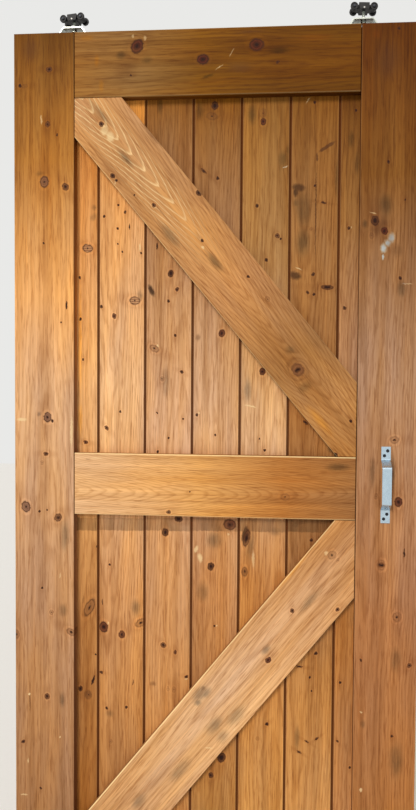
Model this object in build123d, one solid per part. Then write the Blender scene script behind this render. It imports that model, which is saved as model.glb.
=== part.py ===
"""Top-hung sliding barn door leaf: pine frame, diagonal braces and matchboards, with its hangers.

Millimetres, +Z up. The front of the door faces -Y, left and right are as seen from the front, and
the origin is the middle of the bottom edge, half way through the thickness.
"""
from build123d import *
import math
import os

# Leaf
door_width = 950.0
door_height = 2100.0
door_thickness = 38.0
stile_width = 143.5
top_rail_height = 150.0
middle_rail_height = 145.0
bottom_rail_height = 150.0
arris_radius = 2.0
back_arris = 1.0
joint_gap = 1.2

# Mortise and tenon joints, hidden in the stiles
tenon_length = 90.0
tenon_thickness = 14.0
tenon_shoulder = 30.0
tenon_clearance = 0.15

# Matchboards, tongued and grooved, let into a rebate round the back
board_thickness = 18.0
full_boards = 5
first_board_cover = 52.0
last_board_cover = 46.0
rebate_depth = 12.0
rebate_clearance = 0.5
tongue_length = 6.0
tongue_thickness = 5.0
tongue_clearance = 0.2
board_gap = 0.3
vee_depth = 3.2

# Diagonal braces, each set by where one edge meets the rail and the stile
upper_brace_width = 143.0
upper_brace_drop = 89.0
upper_brace_inset = 44.0
lower_brace_width = 149.0
lower_brace_rise = 69.0
lower_brace_inset = 47.0

# Pull handle, folded from flat strap
handle_length = 175.0
handle_width = 21.0
handle_strap = 2.5
handle_pad = 30.0
grip_length = 82.0
grip_clearance = 24.0
handle_bend_radius = 3.5
handle_from_edge = 77.0
handle_above_floor = 1061.0

# Wood screws with countersunk heads
screw_shank = 4.0
screw_head = 7.6
screw_head_height = 2.2
screw_length = 26.0
screw_point = 4.0
screw_clearance = 0.1
screw_step_across = 3.6
screw_step_along = 5.6

# Hanger brackets, folded from flat strap and screwed to the top edge
left_hanger_from_edge = 137.5
right_hanger_from_edge = 139.5
bracket_width = 25.0
bracket_strap = 2.5
bracket_top_length = 44.0
bracket_base_length = 62.0
bracket_height = 16.0
bracket_foot = 25.0
bracket_bend_radius = 3.5

# Hanger bolt and its nuts
bolt_diameter = 6.0
bolt_length = 35.0
hex_across_flats = 10.0
bolt_head_height = 4.0
bolt_end_chamfer = 0.75
hex_chamfer_in = 1.0
hex_chamfer_down = 0.6
bolt_hole_clearance = 0.25
thread_clearance = 0.05
nut_height = 5.0
flange_diameter = 14.0
flange_edge = 1.0
flange_rise = 2.6
lock_nut_hex_top = 6.0
lock_nut_height = 8.0
lock_nut_collar = 8.4
lock_nut_collar_round = 1.0

# Four-wheel trolleys, each turning on its bolt
wheelbase = 44.5
gauge = 20.5
wheel_diameter = 17.0
wheel_width = 5.0
wheel_crown = 0.8
wheel_side_gap = 0.4
web_recess = 1.0
web_rim = 2.2
hub_diameter = 7.6
axle_diameter = 4.0
axle_clearance = 0.05
rivet_diameter = 6.2
rivet_height = 1.2
rivet_edge = 0.5
left_axle_height = 38.0
right_axle_height = 42.5
left_trolley_turn = -9.0
right_trolley_turn = 4.0
arm_radius = 5.2
block_length = 24.0
block_width = 25.0
block_taper = 2.0
block_above_axle = 7.6
body_below_axle = 6.5
body_round = 1.2
pocket_floor = 4.5
pocket_clearance = 0.3
swivel_clearance = 0.05

# Steel pin in the middle of each face of a trolley's block
pin_diameter = 4.0
pin_length = 5.0
pin_proud = 0.5
pin_edge = 0.4
pin_clearance = 0.03
pin_below_axle = 3.2

# How far a cutting solid stands clear of the face that it cuts
overcut = 1.0

# Levels and planes that the pieces share
front = -door_thickness / 2
back = door_thickness / 2
board_front = back - board_thickness
half_width = door_width / 2
half_opening = half_width - stile_width
board_cover = (2 * half_opening - first_board_cover - last_board_cover) / full_boards
panel_height = (door_height - top_rail_height - middle_rail_height - bottom_rail_height) / 2
middle_rail_foot = bottom_rail_height + panel_height
middle_rail_top = middle_rail_foot + middle_rail_height
top_rail_foot = middle_rail_top + panel_height
left_hanger_x = left_hanger_from_edge - half_width
right_hanger_x = half_width - right_hanger_from_edge
handle_x = half_width - handle_from_edge
hex_corner = hex_across_flats / math.sqrt(3)
pocket_bottom = pocket_floor - body_below_axle
arm_width = gauge - wheel_width - 2 * wheel_side_gap

# Each rail's foot and top, and whether it is the full-thickness top rail
rails = {
    "top_rail": (top_rail_foot, door_height, True),
    "middle_rail": (middle_rail_foot, middle_rail_top, False),
    "bottom_rail": (0.0, bottom_rail_height, False),
}


def block(x0, x1, y0, y1, z0, z1):
    """A rectangular solid between two corners."""
    middle = Pos((x0 + x1) / 2, (y0 + y1) / 2, (z0 + z1) / 2)
    return middle * Box(x1 - x0, y1 - y0, z1 - z0)


def rod(x, y, z0, z1, radius):
    """A round solid that stands upright."""
    return Pos(x, y, (z0 + z1) / 2) * Cylinder(radius, z1 - z0)


def cross_rod(x, z, length, radius):
    """A round solid that lies across the door's thickness, centred on it."""
    return Pos(x, 0, z) * Rot(90, 0, 0) * Cylinder(radius, length)


def ease(timber):
    """Round the front arrises of a piece of timber and break the back ones."""
    timber = fillet(timber.faces().sort_by(Axis.Y)[0].edges(), arris_radius)
    return chamfer(timber.faces().sort_by(Axis.Y)[-1].edges(), back_arris)


def eased_block(x0, x1, y0, y1, z0, z1):
    """A planed and sanded length of timber."""
    return ease(block(x0, x1, y0, y1, z0, z1))


def tenon_span(rail_foot, rail_top, is_top_rail):
    """The y and z limits of a rail's tenon: central in the top rail, flush behind the others."""
    if is_top_rail:
        y0 = -tenon_thickness / 2
        return y0, y0 + tenon_thickness, rail_foot + rebate_depth + joint_gap, rail_top - tenon_shoulder
    return board_front - tenon_thickness, board_front, rail_foot + tenon_shoulder, rail_top - tenon_shoulder


def rail(rail_foot, rail_top, is_top_rail):
    """A rail between the stiles, with a tenon at each end."""
    shoulder = half_opening - joint_gap
    rear = back if is_top_rail else board_front
    piece = eased_block(-shoulder, shoulder, front, rear, rail_foot, rail_top)
    y0, y1, z0, z1 = tenon_span(rail_foot, rail_top, is_top_rail)
    reach = half_opening + tenon_length
    piece += block(-reach, reach, y0, y1, z0, z1)
    if is_top_rail:
        rebate_top = rail_foot + rebate_depth
        piece -= block(-half_width, half_width, board_front, back + overcut,
                       rail_foot - overcut, rebate_top)
    return piece


def stile(side):
    """An upright of the frame: side is -1 for the left and +1 for the right."""
    inner = side * half_opening
    outer = side * half_width
    mouth = inner - side * overcut
    rebate_wall = inner + side * rebate_depth
    mortise_end = inner + side * (tenon_length + tenon_clearance)
    piece = eased_block(*sorted((inner, outer)), front, back, 0, door_height)
    piece -= block(*sorted((mouth, rebate_wall)), board_front, back + overcut,
                   -overcut, top_rail_foot + rebate_depth)
    for rail_foot, rail_top, is_top_rail in rails.values():
        y0, y1, z0, z1 = tenon_span(rail_foot, rail_top, is_top_rail)
        piece -= block(*sorted((mouth, mortise_end)), y0 - tenon_clearance, y1 + tenon_clearance,
                       z0 - tenon_clearance, z1 + tenon_clearance)
    return piece


def seams():
    """Where the V-joints between the boards lie, from left to right."""
    return [-half_opening + first_board_cover + board_cover * i for i in range(full_boards + 1)]


def patch(x0, x1, y0, y1):
    """A rectangle between two corners, seen from above."""
    return Pos((x0 + x1) / 2, (y0 + y1) / 2) * Rectangle(x1 - x0, y1 - y0)


def vee(edge, inward):
    """What one side of a V-joint takes off a board; inward is the way into the board, 1 or -1."""
    mouth = edge + inward * vee_depth
    root = board_front + vee_depth
    outside = edge - inward * overcut
    clear = board_front - overcut
    return make_face(Polyline((mouth, clear), (mouth, board_front), (edge, root), (outside, root),
                              (outside, clear), close=True))


def board_section(left, right, has_groove, has_tongue):
    """A matchboard seen from above, with a V on each joining edge and a square outer edge."""
    middle = (board_front + back) / 2
    half_tongue = tongue_thickness / 2
    half_groove = half_tongue + tongue_clearance
    section = patch(left, right, board_front, back)
    if has_groove:
        section -= patch(left - overcut, left + tongue_length + tongue_clearance,
                         middle - half_groove, middle + half_groove)
        section -= vee(left, 1)
    if has_tongue:
        section -= vee(right, -1)
        section += patch(right - overcut, right + tongue_length,
                         middle - half_tongue, middle + half_tongue)
    return section


def board(index):
    """One matchboard, from the foot of the door up into the top rail's rebate."""
    joints = seams()
    edge = half_opening + rebate_depth - rebate_clearance
    is_first = index == 0
    is_last = index == len(joints)
    left = -edge if is_first else joints[index - 1] + board_gap / 2
    right = edge if is_last else joints[index] - board_gap / 2
    top = top_rail_foot + rebate_depth - rebate_clearance
    section = board_section(left, right, not is_first, not is_last)
    return extrude(section, top, dir=(0, 0, 1))


def brace(edge_start, edge_end, width, floor_level, ceiling_level):
    """A diagonal brace, cut to fit the corners of one opening of the frame.

    One edge of the brace runs through edge_start and edge_end, and the brace lies on its left.
    """
    run = math.dist(edge_start, edge_end)
    along = ((edge_end[0] - edge_start[0]) / run, (edge_end[1] - edge_start[1]) / run)
    across = (-along[1], along[0])

    def place(distance, offset):
        return (edge_start[0] + along[0] * distance + across[0] * offset,
                edge_start[1] + along[1] * distance + across[1] * offset)

    strip = make_face(Polyline(place(-run, 0), place(2 * run, 0), place(2 * run, width),
                               place(-run, width), close=True))
    room = Pos(0, (floor_level + ceiling_level) / 2) * Rectangle(
        2 * (half_opening - joint_gap), ceiling_level - floor_level - 2 * joint_gap)
    outline = strip & room
    return ease(Pos(0, board_front, 0) * extrude(Plane.XZ * outline, board_front - front))


def upper_brace():
    """From the top left corner down to the middle rail."""
    return brace((-half_opening, top_rail_foot - upper_brace_drop),
                 (half_opening - upper_brace_inset, middle_rail_top),
                 upper_brace_width, middle_rail_top, top_rail_foot)


def lower_brace():
    """From under the middle rail down to the bottom left corner."""
    return brace((half_opening - lower_brace_inset, middle_rail_foot),
                 (-half_opening, bottom_rail_height + lower_brace_rise),
                 lower_brace_width, bottom_rail_height, middle_rail_foot)


def folded_strap(points, radius, thickness, width, width_direction):
    """Flat strap folded along a line of points, which runs through the middle of its thickness."""
    line = FilletPolyline(*points, radius=radius)
    section = Plane(origin=line @ 0, x_dir=width_direction, z_dir=line % 0) * Rectangle(width, thickness)
    return sweep(section, path=line)


def wood_screw():
    """A countersunk wood screw that points down, with the top of its head at zero."""
    neck = screw_shank / 2
    tip = screw_length - screw_point
    outline = Polyline((0, 0), (screw_head / 2, 0), (neck, -screw_head_height), (neck, -tip),
                       (0, -screw_length), close=True)
    return revolve(Plane.XZ * make_face(outline), Axis.Z)


def screw_hole():
    """The room that a wood screw needs."""
    grown = screw_shank / 2 + screw_clearance
    head = screw_head / 2 + screw_clearance
    depth = screw_length + screw_clearance
    outline = Polyline((0, overcut), (head, overcut), (head, 0), (grown, -screw_head_height),
                       (grown, -depth), (0, -depth), close=True)
    return revolve(Plane.XZ * make_face(outline), Axis.Z)


def handle_screw_places():
    """Two screws in each pad of the handle, one above the other and to each side."""
    places = []
    pad_centre = (handle_length - handle_pad) / 2
    for pad in (1, -1):
        for way in (1, -1):
            places.append(Pos(handle_x + way * screw_step_across, front - handle_strap,
                              handle_above_floor + pad * pad_centre + way * screw_step_along)
                          * Rot(90, 0, 0))
    return places


def bracket_screw_places(x):
    """Two screws in each foot of the bracket whose bolt stands at x."""
    foot_centre = (bracket_base_length + bracket_foot) / 2
    return [Pos(x + foot * foot_centre + way * screw_step_across,
                way * screw_step_along, door_height + bracket_strap)
            for foot in (1, -1) for way in (1, -1)]


def pull_handle():
    """The strap handle: pads on the stile, two sloping legs and the grip."""
    pad_level = front - handle_strap / 2
    grip_level = front - grip_clearance - handle_strap / 2
    end = handle_length / 2
    path = [(handle_x, pad_level, handle_above_floor - end),
            (handle_x, pad_level, handle_above_floor - end + handle_pad),
            (handle_x, grip_level, handle_above_floor - grip_length / 2),
            (handle_x, grip_level, handle_above_floor + grip_length / 2),
            (handle_x, pad_level, handle_above_floor + end - handle_pad),
            (handle_x, pad_level, handle_above_floor + end)]
    strap = folded_strap(path, handle_bend_radius, handle_strap, handle_width, (1, 0, 0))
    for place in handle_screw_places():
        strap -= place * screw_hole()
    return strap


def hanger_bracket(x):
    """The raised strap that straddles a stile and the top rail and carries one bolt."""
    foot_level = door_height + bracket_strap / 2
    top_level = door_height + bracket_height - bracket_strap / 2
    foot_end = bracket_base_length / 2 + bracket_foot
    path = [(x - foot_end, 0, foot_level), (x - bracket_base_length / 2, 0, foot_level),
            (x - bracket_top_length / 2, 0, top_level), (x + bracket_top_length / 2, 0, top_level),
            (x + bracket_base_length / 2, 0, foot_level), (x + foot_end, 0, foot_level)]
    strap = folded_strap(path, bracket_bend_radius, bracket_strap, bracket_width, (0, 1, 0))
    strap -= rod(x, 0, door_height, door_height + bracket_height + overcut,
                 bolt_diameter / 2 + bolt_hole_clearance)
    for place in bracket_screw_places(x):
        strap -= place * screw_hole()
    return strap


def hexagon(height):
    """A hexagonal prism that stands at zero, its corners turned down at both ends."""
    prism = extrude(RegularPolygon(hex_corner, 6), height)
    turned = rod(0, 0, 0, height, hex_corner)
    turned = chamfer(turned.edges().filter_by(GeomType.CIRCLE), hex_chamfer_down, hex_chamfer_in)
    return prism & turned


def bolt_seat(axle_height):
    """The level of the pocket's floor in a trolley, above the floor."""
    return door_height + axle_height + pocket_bottom


def hanger_bolt(x, axle_height):
    """The bolt that hangs in the trolley by its head and carries the bracket between two nuts."""
    seat = bolt_seat(axle_height) + swivel_clearance
    shank = Pos(0, 0, -bolt_length / 2) * Cylinder(bolt_diameter / 2, bolt_length)
    shank = chamfer(shank.edges().sort_by(Axis.Z)[0], bolt_end_chamfer)
    return Pos(x, 0, seat) * (hexagon(bolt_head_height) + shank)


def thread_hole(height):
    """The hole through a nut."""
    return rod(0, 0, -overcut, height + overcut, bolt_diameter / 2 + thread_clearance)


def lower_nut(x):
    """The plain nut under the bracket."""
    level = door_height + bracket_height - bracket_strap - nut_height
    return Pos(x, 0, level) * (hexagon(nut_height) - thread_hole(nut_height))


def lock_nut(x):
    """The flanged lock nut on top of the bracket: a sloping flange, a hexagon and a round collar."""
    radius = flange_diameter / 2
    cone_top = hex_across_flats / 2
    flange = revolve(Plane.XZ * make_face(Polyline(
        (0, 0), (radius, 0), (radius, flange_edge), (cone_top, flange_rise), (0, flange_rise),
        close=True)), Axis.Z)
    collar = rod(0, 0, 0, lock_nut_height, lock_nut_collar / 2)
    collar = fillet(collar.edges().sort_by(Axis.Z)[-1], lock_nut_collar_round)
    nut = flange + hexagon(lock_nut_hex_top) + collar - thread_hole(lock_nut_height)
    return Pos(x, 0, door_height + bracket_height) * nut


def trolley_pin():
    """A short pin along Y, the middle of its outer end on the block's front face."""
    pin = Pos(0, pin_length / 2 - pin_proud, 0) * Rot(90, 0, 0) * Cylinder(pin_diameter / 2, pin_length)
    return chamfer(pin.edges().sort_by(Axis.Y)[0], pin_edge)


def pin_places():
    """Where the pins sit in the front and the back of a block."""
    front_place = Pos(0, -block_width / 2, -pin_below_axle)
    return [front_place, Rot(0, 0, 180) * front_place]


def trolley_body():
    """The moulded body, about the middle of its axles.

    Two rounded arms hold the axles and run in between the wheels. The wider block in the middle
    has a round pocket, open at the top, where the bolt's head turns.
    """
    arms = extrude(Plane.XZ * SlotCenterToCenter(wheelbase, 2 * arm_radius), arm_width / 2, both=True)
    half_block = block_length / 2
    foot = half_block - block_taper
    side_view = make_face(Polyline(
        (-half_block, block_above_axle), (half_block, block_above_axle), (half_block, 0),
        (foot, -body_below_axle), (-foot, -body_below_axle), (-half_block, 0), close=True))
    block_piece = extrude(Plane.XZ * side_view, block_width / 2, both=True)
    block_piece = fillet(block_piece.edges().filter_by(Axis.Y), body_round)
    body = arms + block_piece
    body -= rod(0, 0, pocket_bottom, block_above_axle + overcut, hex_corner + pocket_clearance)
    body -= rod(0, 0, -body_below_axle - overcut, pocket_bottom + overcut,
                bolt_diameter / 2 + thread_clearance)
    for place in pin_places():
        hole_length = pin_length + overcut
        body -= (place * Pos(0, hole_length / 2 - pin_proud - overcut, 0) * Rot(90, 0, 0)
                 * Cylinder(pin_diameter / 2 + pin_clearance, hole_length))
    for end in (-1, 1):
        body -= cross_rod(end * wheelbase / 2, 0, arm_width + 2 * overcut,
                          axle_diameter / 2 + axle_clearance)
    return body


def axle():
    """A pin through the body and two wheels, riveted over at both ends, lying along Y."""
    half_length = gauge / 2 + wheel_width / 2 + wheel_side_gap
    radius = axle_diameter / 2
    dome = rivet_diameter / 2
    outline = Polyline((0, 0), (radius, 0), (radius, half_length), (dome, half_length),
                       (dome, half_length + rivet_edge), (radius, half_length + rivet_height),
                       (0, half_length + rivet_height), close=True)
    half = revolve(make_face(outline), Axis.Y)
    return half + mirror(half, Plane.XZ)


def wheel():
    """A nylon wheel about the Y axis: crowned tread, and a recess between rim and hub."""
    half = wheel_width / 2
    bore = axle_diameter / 2 + axle_clearance
    tread = wheel_diameter / 2
    outline = make_face(Polyline((bore, -half), (bore, half), (tread - wheel_crown, half),
                                 (tread, half - wheel_crown), (tread, wheel_crown - half),
                                 (tread - wheel_crown, -half), close=True))
    shape = revolve(outline, Axis.Y)
    ring = Cylinder(tread - web_rim, web_recess) - Cylinder(hub_diameter / 2, web_recess)
    for face in (-1, 1):
        shape -= Pos(0, face * (half - web_recess / 2), 0) * Rot(90, 0, 0) * ring
    return shape


def trolley(side_name, x, axle_height, turn):
    """All the pieces of one trolley, by name, turned about its bolt."""
    centre = Pos(x, 0, door_height + axle_height) * Rot(0, 0, turn)
    pieces = {f"{side_name}_trolley_body": centre * trolley_body(),
              f"{side_name}_trolley_pins": [centre * place * trolley_pin() for place in pin_places()]}
    for end_name, end in (("a", -1), ("b", 1)):
        axle_x = end * wheelbase / 2
        pieces[f"{side_name}_axle_{end_name}"] = centre * Pos(axle_x, 0, 0) * axle()
        for face_name, face in (("front", -1), ("rear", 1)):
            pieces[f"{side_name}_wheel_{end_name}_{face_name}"] = (
                centre * Pos(axle_x, face * gauge / 2, 0) * wheel())
    return pieces


def pilot_holes(timber, places):
    """Drill a piece of timber for screws."""
    for place in places:
        timber -= place * screw_hole()
    return timber


def leaf():
    """The timber pieces by name."""
    left_screws = bracket_screw_places(left_hanger_x)
    right_screws = bracket_screw_places(right_hanger_x)
    pieces = {
        "left_stile": pilot_holes(stile(-1), left_screws),
        "right_stile": pilot_holes(stile(1), right_screws + handle_screw_places()),
        "top_rail": pilot_holes(rail(*rails["top_rail"]), left_screws + right_screws),
        "middle_rail": pilot_holes(rail(*rails["middle_rail"]), handle_screw_places()),
        "bottom_rail": rail(*rails["bottom_rail"]),
        "upper_brace": upper_brace(),
        "lower_brace": lower_brace(),
    }
    for index in range(full_boards + 2):
        pieces[f"board_{index + 1}"] = board(index)
    return pieces


def hardware():
    """The metal and nylon pieces by name."""
    pieces = {
        "pull_handle": pull_handle(),
        "handle_screws": [place * wood_screw() for place in handle_screw_places()],
    }
    for name, x, axle_height, turn in (
            ("left", left_hanger_x, left_axle_height, left_trolley_turn),
            ("right", right_hanger_x, right_axle_height, right_trolley_turn)):
        pieces[f"{name}_bracket"] = hanger_bracket(x)
        pieces[f"{name}_bracket_screws"] = [place * wood_screw()
                                            for place in bracket_screw_places(x)]
        pieces[f"{name}_bolt"] = hanger_bolt(x, axle_height)
        pieces[f"{name}_lower_nut"] = lower_nut(x)
        pieces[f"{name}_lock_nut"] = lock_nut(x)
        pieces.update(trolley(name, x, axle_height, turn))
    return pieces


def write(pieces):
    """Write each piece, or group of like pieces, to a file of its own."""
    os.makedirs("parts", exist_ok=True)
    for name, shape in pieces.items():
        if isinstance(shape, list):
            shape = Compound(children=shape)
        export_step(shape, f"parts/{name}.step")


write(leaf())
write(hardware())
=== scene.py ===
# %% [markdown]
# # A braced pine barn door on two hanging trolleys
# This lesson dresses a finished CAD model of a sliding door leaf: stained knotty pine, galvanised and
# zinc-plated steel, and black nylon. The CAD solids keep their shapes, apart from the screws and bolts,
# which are made again with recesses and threads, so nearly all of the work goes into what the surfaces
# are made of. The model comes in as a fixed frame, in metres, with its front facing -Y and the origin
# at the middle of the bottom edge.

# %% Load the frame and keep its box
import math

import bmesh
import bpy
from mathutils import Matrix, Vector


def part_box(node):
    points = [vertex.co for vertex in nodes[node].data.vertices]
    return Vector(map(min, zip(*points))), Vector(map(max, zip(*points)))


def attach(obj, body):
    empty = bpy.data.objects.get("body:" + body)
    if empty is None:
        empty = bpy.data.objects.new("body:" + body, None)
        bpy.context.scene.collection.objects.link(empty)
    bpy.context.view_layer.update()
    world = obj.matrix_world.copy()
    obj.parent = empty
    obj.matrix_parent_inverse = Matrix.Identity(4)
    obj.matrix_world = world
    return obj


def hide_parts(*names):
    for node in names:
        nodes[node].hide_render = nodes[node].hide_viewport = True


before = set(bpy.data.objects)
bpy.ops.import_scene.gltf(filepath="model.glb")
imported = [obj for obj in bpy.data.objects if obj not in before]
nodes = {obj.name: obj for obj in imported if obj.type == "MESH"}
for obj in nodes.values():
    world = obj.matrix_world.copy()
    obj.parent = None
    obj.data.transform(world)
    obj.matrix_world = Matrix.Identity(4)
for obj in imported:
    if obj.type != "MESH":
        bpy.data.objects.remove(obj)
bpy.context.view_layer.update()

# %% [markdown]
# ## The camera
# The door nearly fills a tall picture, so the camera stands only about 1.35 m in front of it, at chest
# height, turned a little to the left and tipped slightly down. A short lens is what makes the trolleys
# at the top show a little of their undersides. The picture is a crop from one side of a wider view, and
# a small sideways shift of the lens gives the same crop without turning the camera.

# %% The camera stands where the photographer stood
MM = 0.001
camera_place = (0.2190, -1.3645, 1.2780)
camera_tip, camera_roll, camera_turn = 88.412, -0.526, 3.718
lens_mm, sensor_mm = 26.0, 36.0
picture_height_px, crop_px = 810, 62

camera_data = bpy.data.cameras.new("view_from_the_front")
camera_data.lens = lens_mm
camera_data.sensor_width = sensor_mm
camera_data.shift_x = -crop_px / picture_height_px
camera = bpy.data.objects.new("view_from_the_front", camera_data)
camera.location = camera_place
camera.rotation_euler = [math.radians(a) for a in (camera_tip, camera_roll, camera_turn)]
bpy.context.scene.collection.objects.link(camera)
bpy.context.scene.camera = camera
print("camera", camera_place, "lens", lens_mm, "mm, shift", round(camera_data.shift_x, 4))

# %% [markdown]
# ## A few small tools
# Every material below is a tree of nodes. One function turns a colour as a painter writes it (sRGB hex)
# into the linear numbers that a renderer adds up, and one function adds a node, sets it and wires it.
# Sockets that share a name, as in the Mix node, are told apart by whether they are switched on.

# %% Colour and node tools
def linear(code):
    """An sRGB hex colour as linear red, green, blue and alpha."""
    parts = [int(code[i:i + 2], 16) / 255 for i in (1, 3, 5)]
    return [c / 12.92 if c <= 0.04045 else ((c + 0.055) / 1.055) ** 2.4 for c in parts] + [1.0]


def live(sockets, name=None):
    """The first socket that is switched on, or the first of that name."""
    return next(s for s in sockets if s.enabled and name in (None, s.name))


def add(tree, kind, inputs=None, **settings):
    """Add a node: settings are its own, inputs hold values or the nodes and sockets to link in."""
    made = tree.nodes.new("ShaderNode" + kind)
    for name, value in settings.items():
        setattr(made, name, value)
    for key, value in (inputs or {}).items():
        socket = made.inputs[key] if isinstance(key, int) else live(made.inputs, key)
        if isinstance(value, bpy.types.Node):
            value = live(value.outputs)
        if isinstance(value, bpy.types.NodeSocket):
            tree.links.new(value, socket)
        else:
            socket.default_value = value
    return made


def new_material(name):
    """A material with an empty tree, and the point being shaded, in metres on the door."""
    material = bpy.data.materials.new(name)
    material.use_nodes = True
    tree = material.node_tree
    tree.nodes.clear()
    return material, tree, tree.nodes.new("ShaderNodeTexCoord").outputs["Object"]


def dress(material, *names):
    """Give CAD nodes one material."""
    for name in names:
        nodes[name].data.materials.clear()
        nodes[name].data.materials.append(material)


print("amber as the renderer sees it:", [round(c, 3) for c in linear("#C98F58")])


# %% Tools for groups of nodes
def new_group(name, inputs, outputs):
    """An empty node group with its sockets listed by kind; returns the tree and both lists of sockets."""
    tree = bpy.data.node_groups.new(name, "ShaderNodeTree")
    for way, sockets in (("INPUT", inputs), ("OUTPUT", outputs)):
        for kind, titles in sockets.items():
            for title in titles.split(", "):
                tree.interface.new_socket(title, in_out=way, socket_type="NodeSocket" + kind)
    return tree, tree.nodes.new("NodeGroupInput").outputs, tree.nodes.new("NodeGroupOutput").inputs


def send(tree, results, outcomes):
    """Link each outcome to the group's output of that name."""
    for title, node in outcomes.items():
        tree.links.new(live(node.outputs), results[title])
    print(tree.name, "takes", len(tree.nodes), "nodes")


# %% [markdown]
# ## How a knot is made
# A knot is a branch that the trunk grew round. Seen on a board it is a dark heart in a ring-lined
# brown disc, a pale ring of live wood round it, a stained halo drawn out along the board, and grain
# that parts and flows round it as water flows round a stone. That flow has a simple formula: each point
# is pushed sideways by radius squared times the sideways distance over the distance squared. So one
# group holds one knot, and knots are chained: each adds its push to the sum so far and keeps the
# stronger of its mark and those already there. Inside the group, distances are counted in knot radii.

# %% One knot as a node group
def build_knot():
    """The group for one knot: its push on the grain, its marks and its looks."""
    tree, given, results = new_group(
        "pine_knot",
        {"Vector": "Place, Centre, Squeeze, Marks so far, Looks so far",
         "Float": "Turn, Radius, Heart, Body, Halo, Pale, Cast, Stripes, Push so far, Nearest so far"},
        {"Float": "Push, Nearest", "Vector": "Marks, Looks"})
    felt_share, soft_core, halo_squeeze, pale_ring_at, inside_to = 0.3, 0.3, 0.4, 1.35, 1.25
    # A knot sits in wood that its neighbours already bent, so it feels a little of their push.
    bent = add(tree, "CombineXYZ", {1: given["Push so far"]})
    felt = add(tree, "VectorMath", {0: bent, 1: (0.0, -felt_share, 0.0), 2: given["Place"]},
               operation="MULTIPLY_ADD")
    offset = add(tree, "VectorMath", {0: felt, 1: given["Centre"]}, operation="SUBTRACT")
    turned = add(tree, "VectorRotate", {"Vector": offset, "Angle": given["Turn"]}, rotation_type="Z_AXIS")
    scaled = add(tree, "VectorMath", {0: turned, 1: given["Squeeze"]}, operation="MULTIPLY")
    reach = add(tree, "VectorMath", {0: scaled}, operation="LENGTH").outputs["Value"]
    sides = add(tree, "SeparateXYZ", {0: scaled})
    below = add(tree, "Math", {0: reach, 1: reach, 2: soft_core}, operation="MULTIPLY_ADD")
    share = add(tree, "Math", {0: sides.outputs["Y"], 1: below}, operation="DIVIDE")
    push = add(tree, "Math", {0: share, 1: given["Radius"], 2: given["Push so far"]},
               operation="MULTIPLY_ADD")
    # How far the point lies in the drawn-out halo, and how far from the middle of the pale ring.
    drawn_out = add(tree, "VectorMath", {0: scaled, 1: (halo_squeeze, 1.0, 0.0)}, operation="MULTIPLY")
    far = add(tree, "VectorMath", {0: drawn_out}, operation="LENGTH").outputs["Value"]
    past_ring = add(tree, "Math", {0: reach, 1: pale_ring_at}, operation="SUBTRACT")
    off_ring = add(tree, "Math", {0: past_ring}, operation="ABSOLUTE")
    part = {}
    for name, distance, rim, full_at, strength, blend in (
            ("heart", reach, given["Heart"], 0.0, 1.6, "LINEAR"),
            ("body", reach, 1.1, 0.85, given["Body"], "LINEAR"),
            ("halo", far, 2.6, 0.8, given["Halo"], "SMOOTHSTEP"),
            ("ring", off_ring, 0.38, 0.05, given["Pale"], "LINEAR")):
        part[name] = add(tree, "MapRange", {"Value": distance, "From Min": rim, "From Max": full_at,
                         "To Max": strength}, interpolation_type=blend)
    inside = add(tree, "Math", {0: reach, 1: inside_to}, operation="LESS_THAN")
    cast, stripes = (add(tree, "Math", {0: inside, 1: given[name]}, operation="MULTIPLY")
                     for name in ("Cast", "Stripes"))
    marks = add(tree, "CombineXYZ", {0: part["heart"], 1: part["body"], 2: part["halo"]})
    looks = add(tree, "CombineXYZ", {0: part["ring"], 1: cast, 2: stripes})
    send(tree, results, {
        "Push": push,
        "Marks": add(tree, "VectorMath", {0: marks, 1: given["Marks so far"]}, operation="MAXIMUM"),
        "Looks": add(tree, "VectorMath", {0: looks, 1: given["Looks so far"]}, operation="MAXIMUM"),
        "Nearest": add(tree, "Math", {0: reach, 1: given["Nearest so far"]}, operation="MINIMUM")})
    return tree


pine_knot = build_knot()

# %% [markdown]
# ## Soft stains
# Outdoor pine also carries blotches: grey where resin or dirt took the stain badly, pale where it was
# scuffed, amber where resin warms it. Each is an oval whose edge is soft or sharp. The three numbers of
# the mark are grey, pale and brown, and amber is kept beside them.
# One kind among them is no stain but the painted shadow of the middle rail on the boards.

# %% One stain as a node group
def build_stain():
    """The group for one stain, which keeps the stronger of its mark and those already there."""
    tree, given, results = new_group(
        "wood_stain",
        {"Vector": "Place, Centre, Squeeze, Strength, Stains so far",
         "Float": "Turn, Core, Amber, Amber so far"},
        {"Vector": "Stains", "Float": "Amber"})
    offset = add(tree, "VectorMath", {0: given["Place"], 1: given["Centre"]}, operation="SUBTRACT")
    turned = add(tree, "VectorRotate", {"Vector": offset, "Angle": given["Turn"]}, rotation_type="Z_AXIS")
    scaled = add(tree, "VectorMath", {0: turned, 1: given["Squeeze"]}, operation="MULTIPLY")
    reach = add(tree, "VectorMath", {0: scaled}, operation="LENGTH").outputs["Value"]
    cover = add(tree, "MapRange", {"Value": reach, "From Min": 1.0, "From Max": given["Core"]},
                interpolation_type="SMOOTHSTEP")
    mark = add(tree, "VectorMath", {0: given["Strength"], "Scale": cover}, operation="SCALE")
    warmth = add(tree, "Math", {0: cover, 1: given["Amber"]}, operation="MULTIPLY")
    send(tree, results, {
        "Stains": add(tree, "VectorMath", {0: mark, 1: given["Stains so far"]}, operation="MAXIMUM"),
        "Amber": add(tree, "Math", {0: warmth, 1: given["Amber so far"]}, operation="MAXIMUM")})
    return tree


wood_stain = build_stain()

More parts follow.
